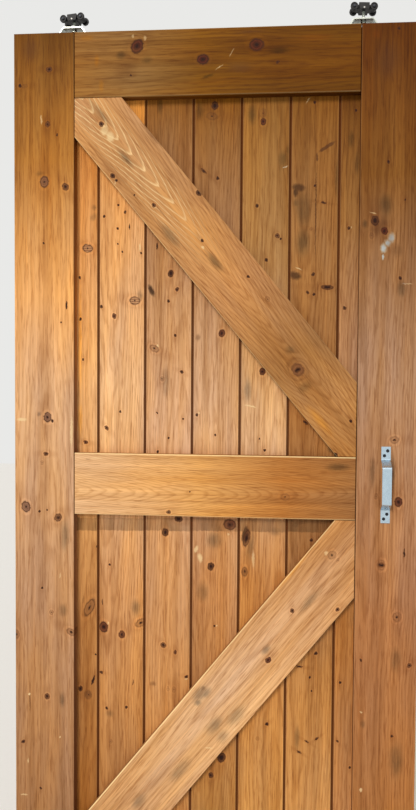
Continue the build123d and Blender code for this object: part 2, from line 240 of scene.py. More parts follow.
# %% [markdown]
# ## Patterns along the grain
# Wood looks like wood because everything in it is drawn out along the trunk. So each pattern below is
# plain noise that repeats seldom along the grain and often across it. Real fibres are much finer than
# the picture shows, so they are drawn 4.3 mm across here (230 to a metre). Pores, which are under 1 mm
# wide, are drawn 2.5 mm wide and some 40 mm long. The broader patterns are true to size: streaks of
# 20 mm, blotches of 30 mm and warm and cool patches of 60 mm.

# %% The patterns
along_grain_patterns = {
    # name: (repeats in a metre along the grain, across the face and in depth; detail; roughness)
    "wander": ((1.6, 0.0, 0.0), 2.0, 0.5),
    "ripple": ((7.0, 40.0, 40.0), 3.0, 0.5),
    "fibre": ((3.6, 230.0, 230.0), 3.0, 0.65),
    "streaks": ((1.4, 45.0, 25.0), 3.0, 0.5),
    "patches": ((3.0, 16.0, 16.0), 2.0, 0.5),
    "blotches": ((9.0, 30.0, 20.0), 5.0, 0.65),
    "pores": ((26.0, 400.0, 400.0), 2.0, 0.5),
}


def draw_patterns(tree, given):
    """All the patterns of one timber, as noise nodes by name."""
    drawn = {}
    seeded = add(tree, "VectorMath", {0: given["Place"], 1: given["Seed"]}, operation="ADD")
    for name, (repeats, detail, roughness) in along_grain_patterns.items():
        stretched = add(tree, "VectorMath", {0: seeded, 1: repeats}, operation="MULTIPLY")
        drawn[name] = add(tree, "TexNoise", {"Vector": stretched, "Scale": 1.0, "Detail": detail,
                          "Roughness": roughness})
    return drawn


print(len(along_grain_patterns), "patterns along the grain")

# %% [markdown]
# ## The yearly rings
# A trunk is a stack of thin cones, one a year, and a plank is a flat cut through it. So the grain
# pattern is just the distance from the tree's centre line, counted in ring widths. Where the cut runs
# along the rings, the cones' slope draws the pointed arches that joiners call cathedrals, and at the
# plank's ends the same numbers draw the curved end grain, with no extra work. Each year has wide pale
# early wood and a narrow dark line of late wood. Rings of 4 to 8.5 mm are those of a fast-grown pine.

# %% The rings
early_ends, late_peak, late_left = 0.42, 0.84, 0.15


def draw_rings(tree, given, drawn):
    """How much late wood there is at a point, from 0 to 1."""
    pith_wander, ring_ripple = (0.0, 0.045, 0.03), 0.009
    # The tree's centre line wanders by some 12 mm over a metre.
    centred = add(tree, "VectorMath", {0: drawn["wander"].outputs["Color"], 1: (0.5, 0.5, 0.5)},
                  operation="SUBTRACT")
    drift = add(tree, "VectorMath", {0: centred, 1: pith_wander}, operation="MULTIPLY")
    pushed = add(tree, "CombineXYZ", {1: given["Push"]})
    across = add(tree, "VectorMath", {0: given["Place"], 1: pushed}, operation="SUBTRACT")
    from_pith = add(tree, "VectorMath", {0: across, 1: given["Pith"]}, operation="SUBTRACT")
    drifted = add(tree, "VectorMath", {0: from_pith, 1: drift}, operation="ADD")
    flat = add(tree, "VectorMath", {0: drifted, 1: (0.0, 1.0, 1.0)}, operation="MULTIPLY")
    radius = add(tree, "VectorMath", {0: flat}, operation="LENGTH").outputs["Value"]
    run = add(tree, "SeparateXYZ", {0: given["Place"]}).outputs["X"]
    cone = add(tree, "Math", {0: run, 1: given["Taper"], 2: radius}, operation="MULTIPLY_ADD")
    # The rings are never quite smooth, and good and bad years make some wider than others.
    rough_cone = add(tree, "Math", {0: drawn["ripple"], 1: ring_ripple, 2: cone},
                     operation="MULTIPLY_ADD")
    count = add(tree, "Math", {0: rough_cone, 1: given["Ring width"]}, operation="DIVIDE")
    late_wood = add(tree, "ValToRGB", {0: add(tree, "Math", {0: count}, operation="FRACT")})
    ramp = late_wood.color_ramp
    ramp.interpolation = "EASE"
    ramp.elements.new(late_peak)
    for stop, place, grey in zip(ramp.elements, (early_ends, late_peak, 1.0), (0.0, 1.0, late_left)):
        stop.position = place
        stop.color = (grey, grey, grey, 1)
    return late_wood


print("late wood starts at", early_ends, "of a year and is darkest at", late_peak)

# %% [markdown]
# ## Colours are laid on in layers
# A joiner's stain works like glazes: each layer darkens or warms what lies under it, in the places where
# it is taken up. So the wood's colour is a list of layers, each with its colour and the reading that
# says where it lies. PAINT covers what is below. A GLAZE is multiplied into it, so its numbers say how
# much of the red, green and blue it lets through, and numbers above one brighten.

# %% The layers
GLAZE, PAINT = "MULTIPLY", "MIX"


def lay_on(tree, wood, layers):
    """Lay layers over the wood, bottom first; a share is one reading or the product of two."""
    for way, colour, *shares in layers:
        share = shares[0]
        if len(shares) == 2:
            share = add(tree, "Math", {0: shares[0], 1: shares[1]}, operation="MULTIPLY")
        if isinstance(colour, str):
            colour = linear(colour)
        wood = add(tree, "Mix", {"Factor": share, "A": wood, "B": colour}, data_type="RGBA",
                   blend_type=way)
    return wood


def take_readings(tree, table):
    """Readings by name, from a table of (source, start, end, value at the start, value at the end)."""
    taken = {}
    for name, (source, start, end, at_start, at_end) in table.items():
        taken[name] = add(tree, "MapRange", {"Value": source, "From Min": start, "From Max": end,
                          "To Min": at_start, "To Max": at_end})
    return taken


print("a glaze is mixed as", GLAZE, "and paint as", PAINT)


# %% Bare wood, with its streaks, rings, fibres and pores
def wood_layers(tree, given, drawn, late_wood):
    """The layers that the wood itself has, from its tone outwards."""
    taken = take_readings(tree, {
        "warmth": (drawn["patches"], 0.36, 0.64, 0.0, 1.0),
        "streak": (drawn["streaks"], 0.38, 0.66, 0.0, 1.0),
        "fibre": (drawn["fibre"], 0.50, 0.70, 0.0, 0.52),
        "sheen": (drawn["fibre"], 0.47, 0.30, 0.0, 0.9),
        "pore": (drawn["pores"], 0.53, 0.68, 0.0, 0.65),
    })
    cool, warm, line_sharpness = (0.95, 0.96, 0.99, 1), (1.07, 1.01, 0.82, 1), 2.5
    warm_or_cool = add(tree, "Mix", {"Factor": taken["warmth"], "A": cool, "B": warm}, data_type="RGBA")
    # Close to the heart, sanding left some late wood standing pale and bare of stain.
    sharp_line = add(tree, "Math", {0: late_wood, 1: line_sharpness}, operation="POWER")
    return [
        (GLAZE, warm_or_cool, 1.0),
        (GLAZE, (0.80, 0.74, 0.66, 1), taken["streak"]),
        (GLAZE, (0.60, 0.47, 0.33, 1), late_wood, given["Ring contrast"]),
        (PAINT, "#F2CF98", sharp_line, given["Pale lines"]),
        (GLAZE, (0.64, 0.54, 0.43, 1), taken["fibre"]),
        (GLAZE, (1.16, 1.14, 1.10, 1), taken["sheen"]),
        (GLAZE, (0.60, 0.48, 0.38, 1), taken["pore"]),
    ]


# %% Stains
def stain_layers(tree, given, ragged, fairly_ragged):
    """Amber, brown, grey and pale stains, with edges as ragged as the wood under them."""
    stains = add(tree, "SeparateXYZ", {0: given["Stains"]}).outputs
    # Scuffs are bare cream wood, and old paint, which is marked both pale and grey, is bluish.
    scuff = add(tree, "Mix", {"Factor": stains["X"], "A": linear("#EBCF9C"), "B": linear("#B9C6CC")},
                data_type="RGBA")
    return [
        # The grey and brown layers also lay on the painted shadow of the middle rail.
        (GLAZE, (1.26, 1.10, 0.50, 1), given["Amber"]),
        (PAINT, "#52301A", stains["Z"], fairly_ragged),
        (GLAZE, (0.38, 0.42, 0.48, 1), stains["X"], ragged),
        (PAINT, scuff, stains["Y"], ragged),
    ]


# %% Knots
def knot_layers(tree, given, ragged, broken):
    """Halo, pale ring, ring-lined body, the bark line round it and the dark heart."""
    ring_rate, stripe_rate, bark_line_at = 17.0, 1250.0, 0.92
    marks = add(tree, "SeparateXYZ", {0: given["Marks"]}).outputs
    looks = add(tree, "SeparateXYZ", {0: given["Looks"]}).outputs
    run = add(tree, "SeparateXYZ", {0: given["Place"]}).outputs["X"]
    # Rings in the body follow the distance from the knot's middle, and stripes lie 5 mm apart.
    waves = []
    for source, rate in ((given["Nearest"], ring_rate), (run, stripe_rate)):
        phase = add(tree, "Math", {0: source, 1: rate}, operation="MULTIPLY")
        waves.append(add(tree, "Math", {0: phase}, operation="SINE"))
    past_edge = add(tree, "Math", {0: given["Nearest"], 1: bark_line_at}, operation="SUBTRACT")
    off_edge = add(tree, "Math", {0: past_edge}, operation="ABSOLUTE")
    taken = take_readings(tree, {
        "ring": (waves[0], -1.0, 1.0, 0.0, 0.8),
        "stripe": (waves[1], -0.4, 0.4, 0.0, 1.0),
        "edge": (off_edge, 0.20, 0.04, 0.0, 0.75),
        "body": (marks["Y"], 0.0, 0.45, 0.0, 1.0),
    })
    cast = add(tree, "ValToRGB", {0: looks["Y"]})
    cast.color_ramp.elements.new(0.5)
    for stop, code in zip(cast.color_ramp.elements, ("#7A5647", "#734528", "#56241A")):
        stop.color = linear(code)
    body = lay_on(tree, cast, [
        (GLAZE, (0.48, 0.40, 0.36, 1), taken["ring"]),
        (PAINT, "#B98A63", taken["stripe"], looks["Z"]),
    ])
    # The bark line sits just inside the knot's edge, and is fainter on a faint knot.
    bark = add(tree, "Math", {0: taken["edge"], 1: taken["body"]}, operation="MULTIPLY")
    return [
        (GLAZE, (0.66, 0.54, 0.44, 1), marks["Z"]),
        (GLAZE, (1.42, 1.42, 1.42, 1), looks["X"], ragged),
        (PAINT, body, marks["Y"], broken),
        (PAINT, "#3E2314", bark, broken),
        (PAINT, "#2B1610", marks["X"], broken),
    ]


# %% The pine group puts the layers together
def build_pine():
    """The group for stained pine: its colour, its roughness and the height of its fibres."""
    tree, given, results = new_group(
        "stained_knotty_pine",
        {"Vector": "Place, Marks, Looks, Stains, Pith, Seed", "Color": "Tone",
         "Float": "Push, Nearest, Amber, Taper, Ring width, Ring contrast, Pale lines, Pale edge, "
                  "Dark joint, Recess"},
        {"Color": "Color", "Float": "Roughness, Height"})
    drawn = draw_patterns(tree, given)
    late_wood = draw_rings(tree, given, drawn)
    taken = take_readings(tree, {
        "ragged": (drawn["blotches"], 0.30, 0.62, 0.35, 1.0),
        "broken": (drawn["blotches"], 0.36, 0.60, 0.72, 1.0),
        "roughness": (drawn["streaks"], 0.0, 1.0, 0.58, 0.74),
    })
    least_ragged = 0.45
    fairly_ragged = add(tree, "MapRange", {"Value": taken["ragged"], "To Min": least_ragged})
    # Pale edges are rubbed stain with a painted highlight, V-joints gather dark stain, and the reveals get
    # painted shade.
    edge_layers = [
        # The pale edge line is rubbed pale stain together with a painted highlight on the arris.
        (PAINT, "#FFE2A8", given["Pale edge"], fairly_ragged),
        (PAINT, "#5A2A0A", given["Dark joint"]),
        # Painted shade on the reveals, where the frame shades itself next to the boards.
        (GLAZE, (0.42, 0.28, 0.15, 1), given["Recess"]),
    ]
    wood = lay_on(tree, given["Tone"], wood_layers(tree, given, drawn, late_wood)
                  + stain_layers(tree, given, taken["ragged"], fairly_ragged)
                  + knot_layers(tree, given, taken["ragged"], taken["broken"]) + edge_layers)
    send(tree, results, {"Color": wood, "Roughness": taken["roughness"], "Height": drawn["fibre"]})
    return tree


stained_knotty_pine = build_pine()

# %% [markdown]
# ## One material per timber
# No two planks match, so each timber has its own grain direction, its own tones along its length, its
# own pith and its own knots. Places are given in millimetres on the door, from its middle and its foot,
# as one would measure them with a tape, and turned into distances along and across the grain here.
# A knot's kind says how it looks: a pin is a small dark dot, a spike a branch cut along its length.
# The tones along a timber also hold painted light: several darken towards the top of the door, as painted
# shade, and the stiles and boards brighten a little above the middle, as a painted pool of light.

# %% Kinds of knot and kinds of stain
knot_kinds = {
    # kind: (length over width, heart, body, halo, pale ring, cast from grey 0 over brown to red 1, stripes)
    "pin": (1.20, 1.05, 0.78, 0.34, 0.35, 0.60, 0.0),
    "round": (1.20, 0.70, 0.86, 0.42, 0.55, 0.45, 0.0),
    "grey": (1.25, 0.35, 0.88, 0.40, 0.60, 0.00, 0.0),
    "red": (1.25, 0.55, 0.90, 0.45, 0.45, 1.00, 0.0),
    "black": (1.25, 1.10, 0.92, 0.42, 0.40, 0.50, 0.0),
    "striped": (1.35, 0.25, 0.80, 0.38, 0.45, 0.25, 1.0),
    "eye": (1.60, 0.45, 0.30, 0.45, 0.55, 0.50, 0.0),
    "ring": (1.15, 0.40, 0.20, 0.30, 0.60, 0.50, 0.0),
    "slit": (5.00, 1.10, 0.80, 0.25, 0.10, 0.60, 0.0),
    "streak": (2.60, 0.85, 0.75, 0.36, 0.25, 0.60, 0.0),
    "spike": (2.20, 0.35, 0.42, 0.42, 0.45, 0.40, 0.0),
    "faint": (1.40, 0.22, 0.16, 0.30, 0.25, 0.40, 0.0),
}
stain_kinds = {
    # kind: (strength as grey, pale, brown; amber; how far out the full strength reaches)
    "grey": ((0.85, 0.0, 0.0), 0.0, 0.15),
    "pale": ((0.0, 0.80, 0.0), 0.0, 0.40),
    "scratch": ((0.0, 0.42, 0.0), 0.0, 0.40),
    "white": ((0.95, 0.85, 0.0), 0.0, 0.20),
    "brown": ((0.0, 0.0, 0.50), 0.0, 0.15),
    "black": ((0.90, 0.0, 0.90), 0.0, 0.35),
    "slit": ((0.0, 0.0, 0.85), 0.0, 0.60),
    "amber": ((0.0, 0.0, 0.0), 0.75, 0.15),
    # The next kind paints the shadow of the middle rail on the boards: a grey-brown band with a sharp lower
    # edge.
    "painted_rail_shadow": ((0.62, 0.0, 0.22), 0.0, 0.80),
}
print(len(knot_kinds), "kinds of knot,", len(stain_kinds), "kinds of stain")


# %% The directions and limits of a timber
def grain_axes(lean):
    """The directions along and across the grain, for a timber that leans by so many degrees."""
    angle = math.radians(lean)
    return Vector((math.cos(angle), 0, math.sin(angle))), Vector((math.sin(angle), 0, -math.cos(angle)))


def face_limits(node, along, across):
    """The front face's depth, and how far its flat part reaches along and across the grain."""
    spots = [v.co for v in nodes[node].data.vertices]
    front = min(p.y for p in spots)
    still_flat = 0.5 * MM
    flat = [p for p in spots if p.y < front + still_flat]
    runs = [p.dot(along) for p in flat]
    sides = [p.dot(across) for p in flat]
    return front, min(runs), max(runs), min(sides), max(sides)


# Reveals and joints lie between the stiles, and reveals between the rails as well, with small margins.
stile_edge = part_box("right_stile")[0].x
half_opening, joints_end = stile_edge + 1.5 * MM, stile_edge + 8.5 * MM
opening_foot, opening_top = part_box("bottom_rail")[1].z - 2 * MM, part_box("top_rail")[0].z + 3 * MM
print("reveals within", [round(x, 4) for x in (half_opening, opening_foot, opening_top)], "m")


# %% Knots and stains are chained on a timber
def add_knots(tree, place, axes, knots):
    """Chain a timber's knots: (kind, x, z, radius, turn if any); returns the last one's outputs."""
    far_off = 9.0
    push, marks, looks, nearest = 0.0, (0.0, 0.0, 0.0), (0.0, 0.0, 0.0), far_off
    for kind, x, z, radius, *turn in knots:
        stretch, heart, body, halo, pale, cast, stripes = knot_kinds[kind]
        centre = Vector((x, 0, z)) * MM
        knot = add(tree, "Group", {
            "Place": place, "Centre": (centre.dot(axes[0]), centre.dot(axes[1]), 0.0),
            "Turn": math.radians(sum(turn)), "Radius": radius * MM, "Heart": heart, "Body": body,
            "Halo": halo, "Pale": pale, "Cast": cast, "Stripes": stripes,
            "Squeeze": (1 / (radius * MM * stretch), 1 / (radius * MM), 0.0), "Push so far": push,
            "Marks so far": marks, "Looks so far": looks, "Nearest so far": nearest},
            node_tree=pine_knot).outputs
        push, marks, looks, nearest = (knot[name] for name in ("Push", "Marks", "Looks", "Nearest"))
    return push, marks, looks, nearest


def add_stains(tree, place, axes, stains):
    """Chain a timber's stains: (kind, x, z, half length, half width, turn if any)."""
    stains_and_rail_shadow, amber = (0.0, 0.0, 0.0), 0.0
    for kind, x, z, length, width, *turn in stains:
        strength, warm, core = stain_kinds[kind]
        centre = Vector((x, 0, z)) * MM
        stain = add(tree, "Group", {
            "Place": place, "Centre": (centre.dot(axes[0]), centre.dot(axes[1]), 0.0),
            "Turn": math.radians(sum(turn)), "Squeeze": (1 / (length * MM), 1 / (width * MM), 0.0),
            "Core": core, "Strength": strength, "Amber": warm, "Stains so far": stains_and_rail_shadow,
            "Amber so far": amber}, node_tree=wood_stain).outputs
        stains_and_rail_shadow, amber = stain["Stains"], stain["Amber"]
    return stains_and_rail_shadow, amber


def uneven_place(tree, place):
    """The place on the face, moved by noise some 6 mm across, since no knot is a true oval."""
    repeats_in_metre, most_moved = 170.0, (6 * MM, 5 * MM, 0.0)
    noise = add(tree, "TexNoise", {"Vector": place, "Scale": repeats_in_metre})
    level = add(tree, "VectorMath", {0: noise.outputs["Color"], 1: (0.5, 0.5, 0.5)},
                operation="SUBTRACT")
    small = add(tree, "VectorMath", {0: level, 1: most_moved}, operation="MULTIPLY")
    uneven = add(tree, "VectorMath", {0: place, 1: small}, operation="ADD")
    return add(tree, "VectorMath", {0: uneven, 1: (1.0, 1.0, 0.0)}, operation="MULTIPLY")


print("upright grain runs", [round(c, 2) for c in grain_axes(90.0)[0]])


# %% [markdown]
# ## Edges, joints and reveals
# A door shows its age at its edges. Hands and weather rub the stain off the corners, and wet stain
# gathers in the joints. The pale edges also carry a painted highlight, and the reveals carry painted
# shade. So each timber's material measures how far a point lies from the edges and ends of the flat
# front face, and how deep behind that face.

# %% Edges, joints and reveals of a timber
def read_edges(tree, run, side, point, limits, edge_wear_and_highlight, joint, end_joint, recess):
    """How pale the edges are, how dark the joints and the reveals, and where stains may lie."""
    front, run_from, run_to, side_from, side_to = limits
    # How far in from the flat face's edges and ends the point lies, and how deep behind the face.
    gap = {}
    for name, upper, lower in (
            ("low side", side, side_from), ("high side", side_to, side), ("low end", run, run_from),
            ("high end", run_to, run), ("depth", point["Y"], front)):
        gap[name] = add(tree, "Math", {0: upper, 1: lower}, operation="SUBTRACT")
    nearest = {name: add(tree, "Math", {0: gap["low " + name], 1: gap["high " + name]},
                         operation="MINIMUM") for name in ("side", "end")}
    taken = take_readings(tree, {
        "stain depth": (gap["depth"], 9 * MM, 5 * MM, 0.0, 1.0),
        "edge depth": (gap["depth"], 3.4 * MM, 2.2 * MM, 0.0, 1.0),
        "joint depth": (gap["depth"], 12 * MM, 8 * MM, 0.0, 1.0),
        "painted_reveal_shade": (gap["depth"], 3 * MM, 8 * MM, 0.0, recess),
        "side joint": (nearest["side"], 0.3 * MM, -0.4 * MM, 0.0, joint),
        "end joint": (nearest["end"], 0.6 * MM, -0.2 * MM, 0.0, end_joint),
    })
    # Each long edge has its own amount of rubbed pale stain and painted highlight, and more of it reaches
    # further in.
    pale_edge_and_highlight, worn_in, more_in, bare_in = 0.0, 1.0 * MM, 1.6 * MM, 0.2 * MM
    for name, wear_and_highlight in (("low side", edge_wear_and_highlight[0]), ("high side", edge_wear_and_highlight[1])):
        at_edge = add(tree, "MapRange", {"Value": gap[name], "From Min": worn_in + more_in * wear_and_highlight,
                      "From Max": bare_in, "To Max": wear_and_highlight})
        pale_edge_and_highlight = add(tree, "Math", {0: at_edge, 1: pale_edge_and_highlight}, operation="MAXIMUM")
    pale_edge_and_highlight = add(tree, "Math", {0: pale_edge_and_highlight, 1: taken["edge depth"]}, operation="MULTIPLY")
    # Where two timbers meet, the joint holds dark stain.
    off_middle = add(tree, "Math", {0: point["X"]}, operation="ABSOLUTE")
    inner = add(tree, "Math", {0: off_middle, 1: joints_end}, operation="LESS_THAN")
    side_joint = add(tree, "Math", {0: inner, 1: taken["side joint"]}, operation="MULTIPLY")
    both_joints = add(tree, "Math", {0: side_joint, 1: taken["end joint"]}, operation="MAXIMUM")
    dark_joint = add(tree, "Math", {0: both_joints, 1: taken["joint depth"]}, operation="MULTIPLY")
    # Reveals, the sides of the frame that look at the boards, are darkened with painted shade.
    painted_reveal_shade = taken["painted_reveal_shade"]
    for reading, limit, test in ((off_middle, half_opening, "LESS_THAN"),
                                 (point["Z"], opening_foot, "GREATER_THAN"),
                                 (point["Z"], opening_top, "LESS_THAN")):
        within = add(tree, "Math", {0: reading, 1: limit}, operation=test)
        painted_reveal_shade = add(tree, "Math", {0: painted_reveal_shade, 1: within}, operation="MULTIPLY")
    return pale_edge_and_highlight, dark_joint, painted_reveal_shade, taken["stain depth"]


print("joints within", round(joints_end, 4), "m of the middle")


# %% Tones along a timber, and pale lines near its start
def tone_along(tree, share, tones):
    """A timber's tone along it: (position, colour) at both ends first, then at the stops between."""
    tone = add(tree, "ValToRGB", {0: share})
    elements = tone.color_ramp.elements
    for index, (position, code) in enumerate(tones):
        stop = elements[index] if index < 2 else elements.new(position)
        stop.position = position
        stop.color = linear(code)
    return tone


def pale_lines_near_start(tree, share, side, pith_across, reach):
    """Where late wood stands pale: up to a share of the length, and near the pith."""
    full_to, most, pith_far, pith_near = 0.6, 0.75, 50 * MM, 30 * MM
    past_pith = add(tree, "Math", {0: side, 1: pith_across}, operation="SUBTRACT")
    off_pith = add(tree, "Math", {0: past_pith}, operation="ABSOLUTE")
    taken = take_readings(tree, {
        "start": (share, reach, reach * full_to, 0.0, most),
        "pith": (off_pith, pith_far, pith_near, 0.0, 1.0),
    })
    return add(tree, "Math", {0: taken["start"], 1: taken["pith"]}, operation="MULTIPLY")


# %% The function that dresses a timber
def dress_timber(node, lean, tones, pith, taper, ring_mm, contrast, knots, stains,
                 edge_wear_and_highlight=(0.5, 0.5), joint=0.0, end_joint=0.0, recess=0.75, pale_lines_mm=0.0):
    """Give one timber its own stained pine; pale_lines_mm is how far pale lines reach from its start."""
    axes = grain_axes(lean)
    limits = face_limits(node, *axes)
    run_from, run_to = limits[1:3]
    material, tree, spot = new_material("stained_pine_" + node)
    run, side = (add(tree, "VectorMath", {0: spot, 1: axis}, operation="DOT_PRODUCT").outputs["Value"]
                 for axis in axes)
    point = add(tree, "SeparateXYZ", {0: spot}).outputs
    place = add(tree, "CombineXYZ", {0: run, 1: side, 2: point["Y"]})
    on_face = uneven_place(tree, place)
    push, marks, looks, nearest = add_knots(tree, on_face, axes, knots)

    # Stains flow round the knots a little, as the grain does.
    flow_share = 0.5
    bent = add(tree, "CombineXYZ", {1: push})
    round_knots = add(tree, "VectorMath", {0: bent, 1: (0.0, -flow_share, 0.0), 2: on_face},
                      operation="MULTIPLY_ADD")
    stains_and_rail_shadow, amber = add_stains(tree, round_knots, axes, stains)
    share = add(tree, "MapRange", {"Value": run, "From Min": run_from, "From Max": run_to})
    pale_edge_and_highlight, dark_joint, painted_reveal_shade, near_front = read_edges(
        tree, run, side, point, limits, edge_wear_and_highlight, joint, end_joint, recess)
    # Knots go right through a plank; stains, scuffs and the painted rail shadow only lie on its front.
    stains_and_rail_shadow = add(tree, "VectorMath", {0: stains_and_rail_shadow, "Scale": near_front}, operation="SCALE")
    amber = add(tree, "Math", {0: amber, 1: near_front}, operation="MULTIPLY")

    pith_across = (Vector((pith[0], 0, pith[1])) * MM).dot(axes[1])
    pale_lines = 0.0
    if pale_lines_mm:
        pale_share = pale_lines_mm * MM / (run_to - run_from)
        pale_lines = pale_lines_near_start(tree, share, side, pith_across, pale_share)
    # The letters of its name choose where in the noise a timber lies, so no two look alike.
    letter_step, side_step = 0.37, 0.5
    seed = sum(ord(c) for c in node) * letter_step
    pine = add(tree, "Group", {
        "Place": place, "Push": push, "Marks": marks, "Looks": looks, "Nearest": nearest,
        "Stains": stains_and_rail_shadow, "Amber": amber, "Pith": (0.0, pith_across, pith[2] * MM), "Taper": taper,
        "Ring width": ring_mm * MM, "Ring contrast": contrast, "Tone": tone_along(tree, share, tones),
        "Pale lines": pale_lines, "Pale edge": pale_edge_and_highlight, "Dark joint": dark_joint, "Recess": painted_reveal_shade,
        "Seed": (seed, seed * side_step, 0.0)}, node_tree=stained_knotty_pine).outputs
    # Matt stain over softwood has hardly any mirror shine, and its fibres stand 0.4 mm at most.
    bump = add(tree, "Bump", {"Strength": 0.35, "Distance": 0.4 * MM, "Height": pine["Height"]})
    shader = add(tree, "BsdfPrincipled", {"Base Color": pine["Color"], "Roughness": pine["Roughness"],
                 "IOR": 1.5, "Specular IOR Level": 0.10, "Normal": bump})
    add(tree, "OutputMaterial", {"Surface": shader})
    dress(material, node)
    print(node, "knots", len(knots), "stains", len(stains))


# %% [markdown]
# ## The stiles
# The two uprights are the widest faces of straight grain, with large grey-brown knots far apart and
# small dark pins between them. Their tones darken towards the top, which is painted shade, and are
# lightest a little above the middle, which is a painted pool of light.

# %% Stiles
UPRIGHT = 90.0
dress_timber(
    "left_stile", UPRIGHT,
    [(0.0, "#976B44"), (1.0, "#72480E"), (0.35, "#C29672"), (0.60, "#DFB48F"),
     (0.71, "#F0B577"), (0.86, "#B87E39")],
    pith=(-402, 0, 70), taper=0.02, ring_mm=5.5, contrast=0.32,
    knots=[("round", -390, 2016, 6, 90), ("pin", -460, 1980, 3.8), ("faint", -449, 1979, 5, 90),
           ("round", -394, 1890, 5.5), ("pin", -372, 1865, 2.9), ("grey", -402, 1757, 10.5),
           ("round", -352, 1745, 7.5, 30), ("pin", -404, 1615, 2.5), ("slit", -349, 1470, 2),
           ("pin", -362, 1430, 2.2), ("grey", -395, 1206, 9.5), ("pin", -385, 1197, 3.4, 40),
           ("round", -399, 1119, 5, 90), ("faint", -408, 1098, 4), ("grey", -448, 992, 10.5, 15),
           ("pin", -416, 982, 2.7), ("pin", -397, 985, 2.1), ("round", -370, 968, 8.5, -50),
           ("pin", -409, 798, 2.7), ("ring", -386, 740, 5), ("eye", -472, 684, 7),
           ("eye", -338, 694, 8, 60), ("round", -397, 536, 6), ("pin", -456, 423, 4.2, -40),
           ("pin", -413, 311, 2.9)],
    stains=[("pale", -408, 1900, 14, 2.6, 8), ("grey", -410, 1776, 8, 14), ("pale", -457, 1200, 5, 15),
            ("pale", -338, 1172, 50, 4), ("grey", -355, 926, 55, 16), ("grey", -414, 1213, 8, 8),
            ("grey", -360, 746, 22, 14), ("pale", -366, 829, 2, 9, 80), ("pale", -440, 540, 3, 3),
            ("slit", -439, 520, 24, 1.5), ("pale", -366, 438, 3.5, 2.5), ("grey", -360, 529, 26, 10),
            ("pale", -454, 293, 2, 12), ("pale", -444, 376, 8, 2), ("brown", -436, 2062, 40, 30)],
    edge_wear_and_highlight=(0.2, 0.1), joint=0.7)
dress_timber(
    "right_stile", UPRIGHT,
    [(0.0, "#B4793C"), (1.0, "#633501"), (0.35, "#B27E58"), (0.62, "#B99275"), (0.84, "#885A26")],
    pith=(360, 0, 60), taper=-0.015, ring_mm=5.0, contrast=0.40,
    knots=[("pin", 413, 2086, 3.4), ("pin", 394, 1791, 3.4), ("black", 366, 1660, 9, 15),
           ("red", 387, 1637, 7, 20), ("pin", 424, 1531, 3.8), ("ring", 417, 1164, 8.5, 90),
           ("pin", 415, 1164, 2.9), ("red", 428, 1022, 8.8), ("faint", 378, 1034, 5),
           ("ring", 391, 876, 10), ("round", 391, 876, 5.4), ("slit", 442, 905, 2),
           ("ring", 428, 757, 9.5), ("faint", 428, 757, 5), ("pin", 348, 653, 3.1),
           ("round", 458, 645, 5, -40), ("pin", 421, 479, 3.2), ("faint", 360, 1626, 5),
           ("pin", 432, 1706, 2)],
    stains=[("white", 402, 1621, 16, 11), ("white", 386, 1598, 15, 10), ("white", 395, 1610, 12, 9, 35),
            ("white", 385, 1578, 9, 4), ("grey", 389, 1695, 34, 24), ("grey", 346, 1653, 14, 10),
            ("brown", 377, 1648, 34, 22, -30), ("brown", 416, 1594, 22, 18),
            ("pale", 361, 1678, 1.6, 9, -18), ("amber", 364, 2075, 16, 14), ("brown", 390, 2017, 60, 40),
            ("grey", 428, 1506, 26, 16), ("scratch", 440, 1518, 2.2, 14), ("grey", 428, 657, 40, 18),
            ("grey", 412, 1095, 60, 12), ("grey", 369, 1090, 50, 9), ("grey", 431, 423, 60, 22),
            ("pale", 350, 532, 3, 4), ("grey", 355, 504, 14, 9), ("pale", 352, 348, 6, 4)],
    edge_wear_and_highlight=(0.1, 0.2), joint=0.8)

# %% [markdown]
# ## The rails
# The grain of a rail runs sideways. The top rail is the darkest timber, its tone deepened with painted
# shade from above, and has large red knots, and the middle rail, cut near the heart of a slow tree, is
# yellow with fine even lines that end in points.

# %% Rails
LEVEL = 0.0
dress_timber(
    "top_rail", LEVEL,
    [(0.0, "#9B6E37"), (1.0, "#6F4403"), (0.20, "#946D3C"), (0.45, "#82550D"), (0.72, "#714503")],
    pith=(0, 2010, 45), taper=0.03, ring_mm=6.0, contrast=0.42,
    knots=[("red", -182, 2063, 13.5, 60), ("red", -29, 2030, 11), ("red", 94, 2059, 13.8),
           ("pin", 142, 2020, 3.8), ("pin", -197, 1998, 2.5)],
    stains=[("scratch", -192, 2083, 4, 6), ("scratch", -164, 2082, 4, 6), ("grey", -220, 2042, 16, 13),
            ("grey", -159, 2034, 18, 13), ("amber", -277, 2032, 8, 20), ("amber", -266, 1976, 8, 20),
            ("scratch", 37, 2044, 13, 1.8, 60), ("scratch", 9, 2013, 13, 1.6, 30),
            ("grey", 145, 2046, 30, 11), ("amber", 226, 2072, 55, 10), ("amber", -302, 2085, 24, 9),
            ("brown", -29, 2030, 30, 16), ("brown", 56, 2012, 40, 18), ("grey", -17, 1994, 22, 6, 20),
            ("brown", 79, 2086, 50, 5)],
    edge_wear_and_highlight=(0.3, 0.15), end_joint=0.7)
dress_timber(
    "middle_rail", LEVEL,
    [(0.0, "#F1C597"), (1.0, "#A2744A"), (0.45, "#E9B06A"), (0.75, "#BE8144")],
    pith=(0, 1037, 0), taper=0.14, ring_mm=4.3, contrast=0.40,
    knots=[("round", -104, 987, 4.8), ("faint", 169, 1028, 8), ("pin", -54, 1036, 1.9)],
    stains=[("grey", 290, 1099, 40, 14), ("brown", -297, 1108, 9, 3), ("scratch", -278, 1111, 20, 3)],
    edge_wear_and_highlight=(0.9, 0.55), end_joint=0.35)
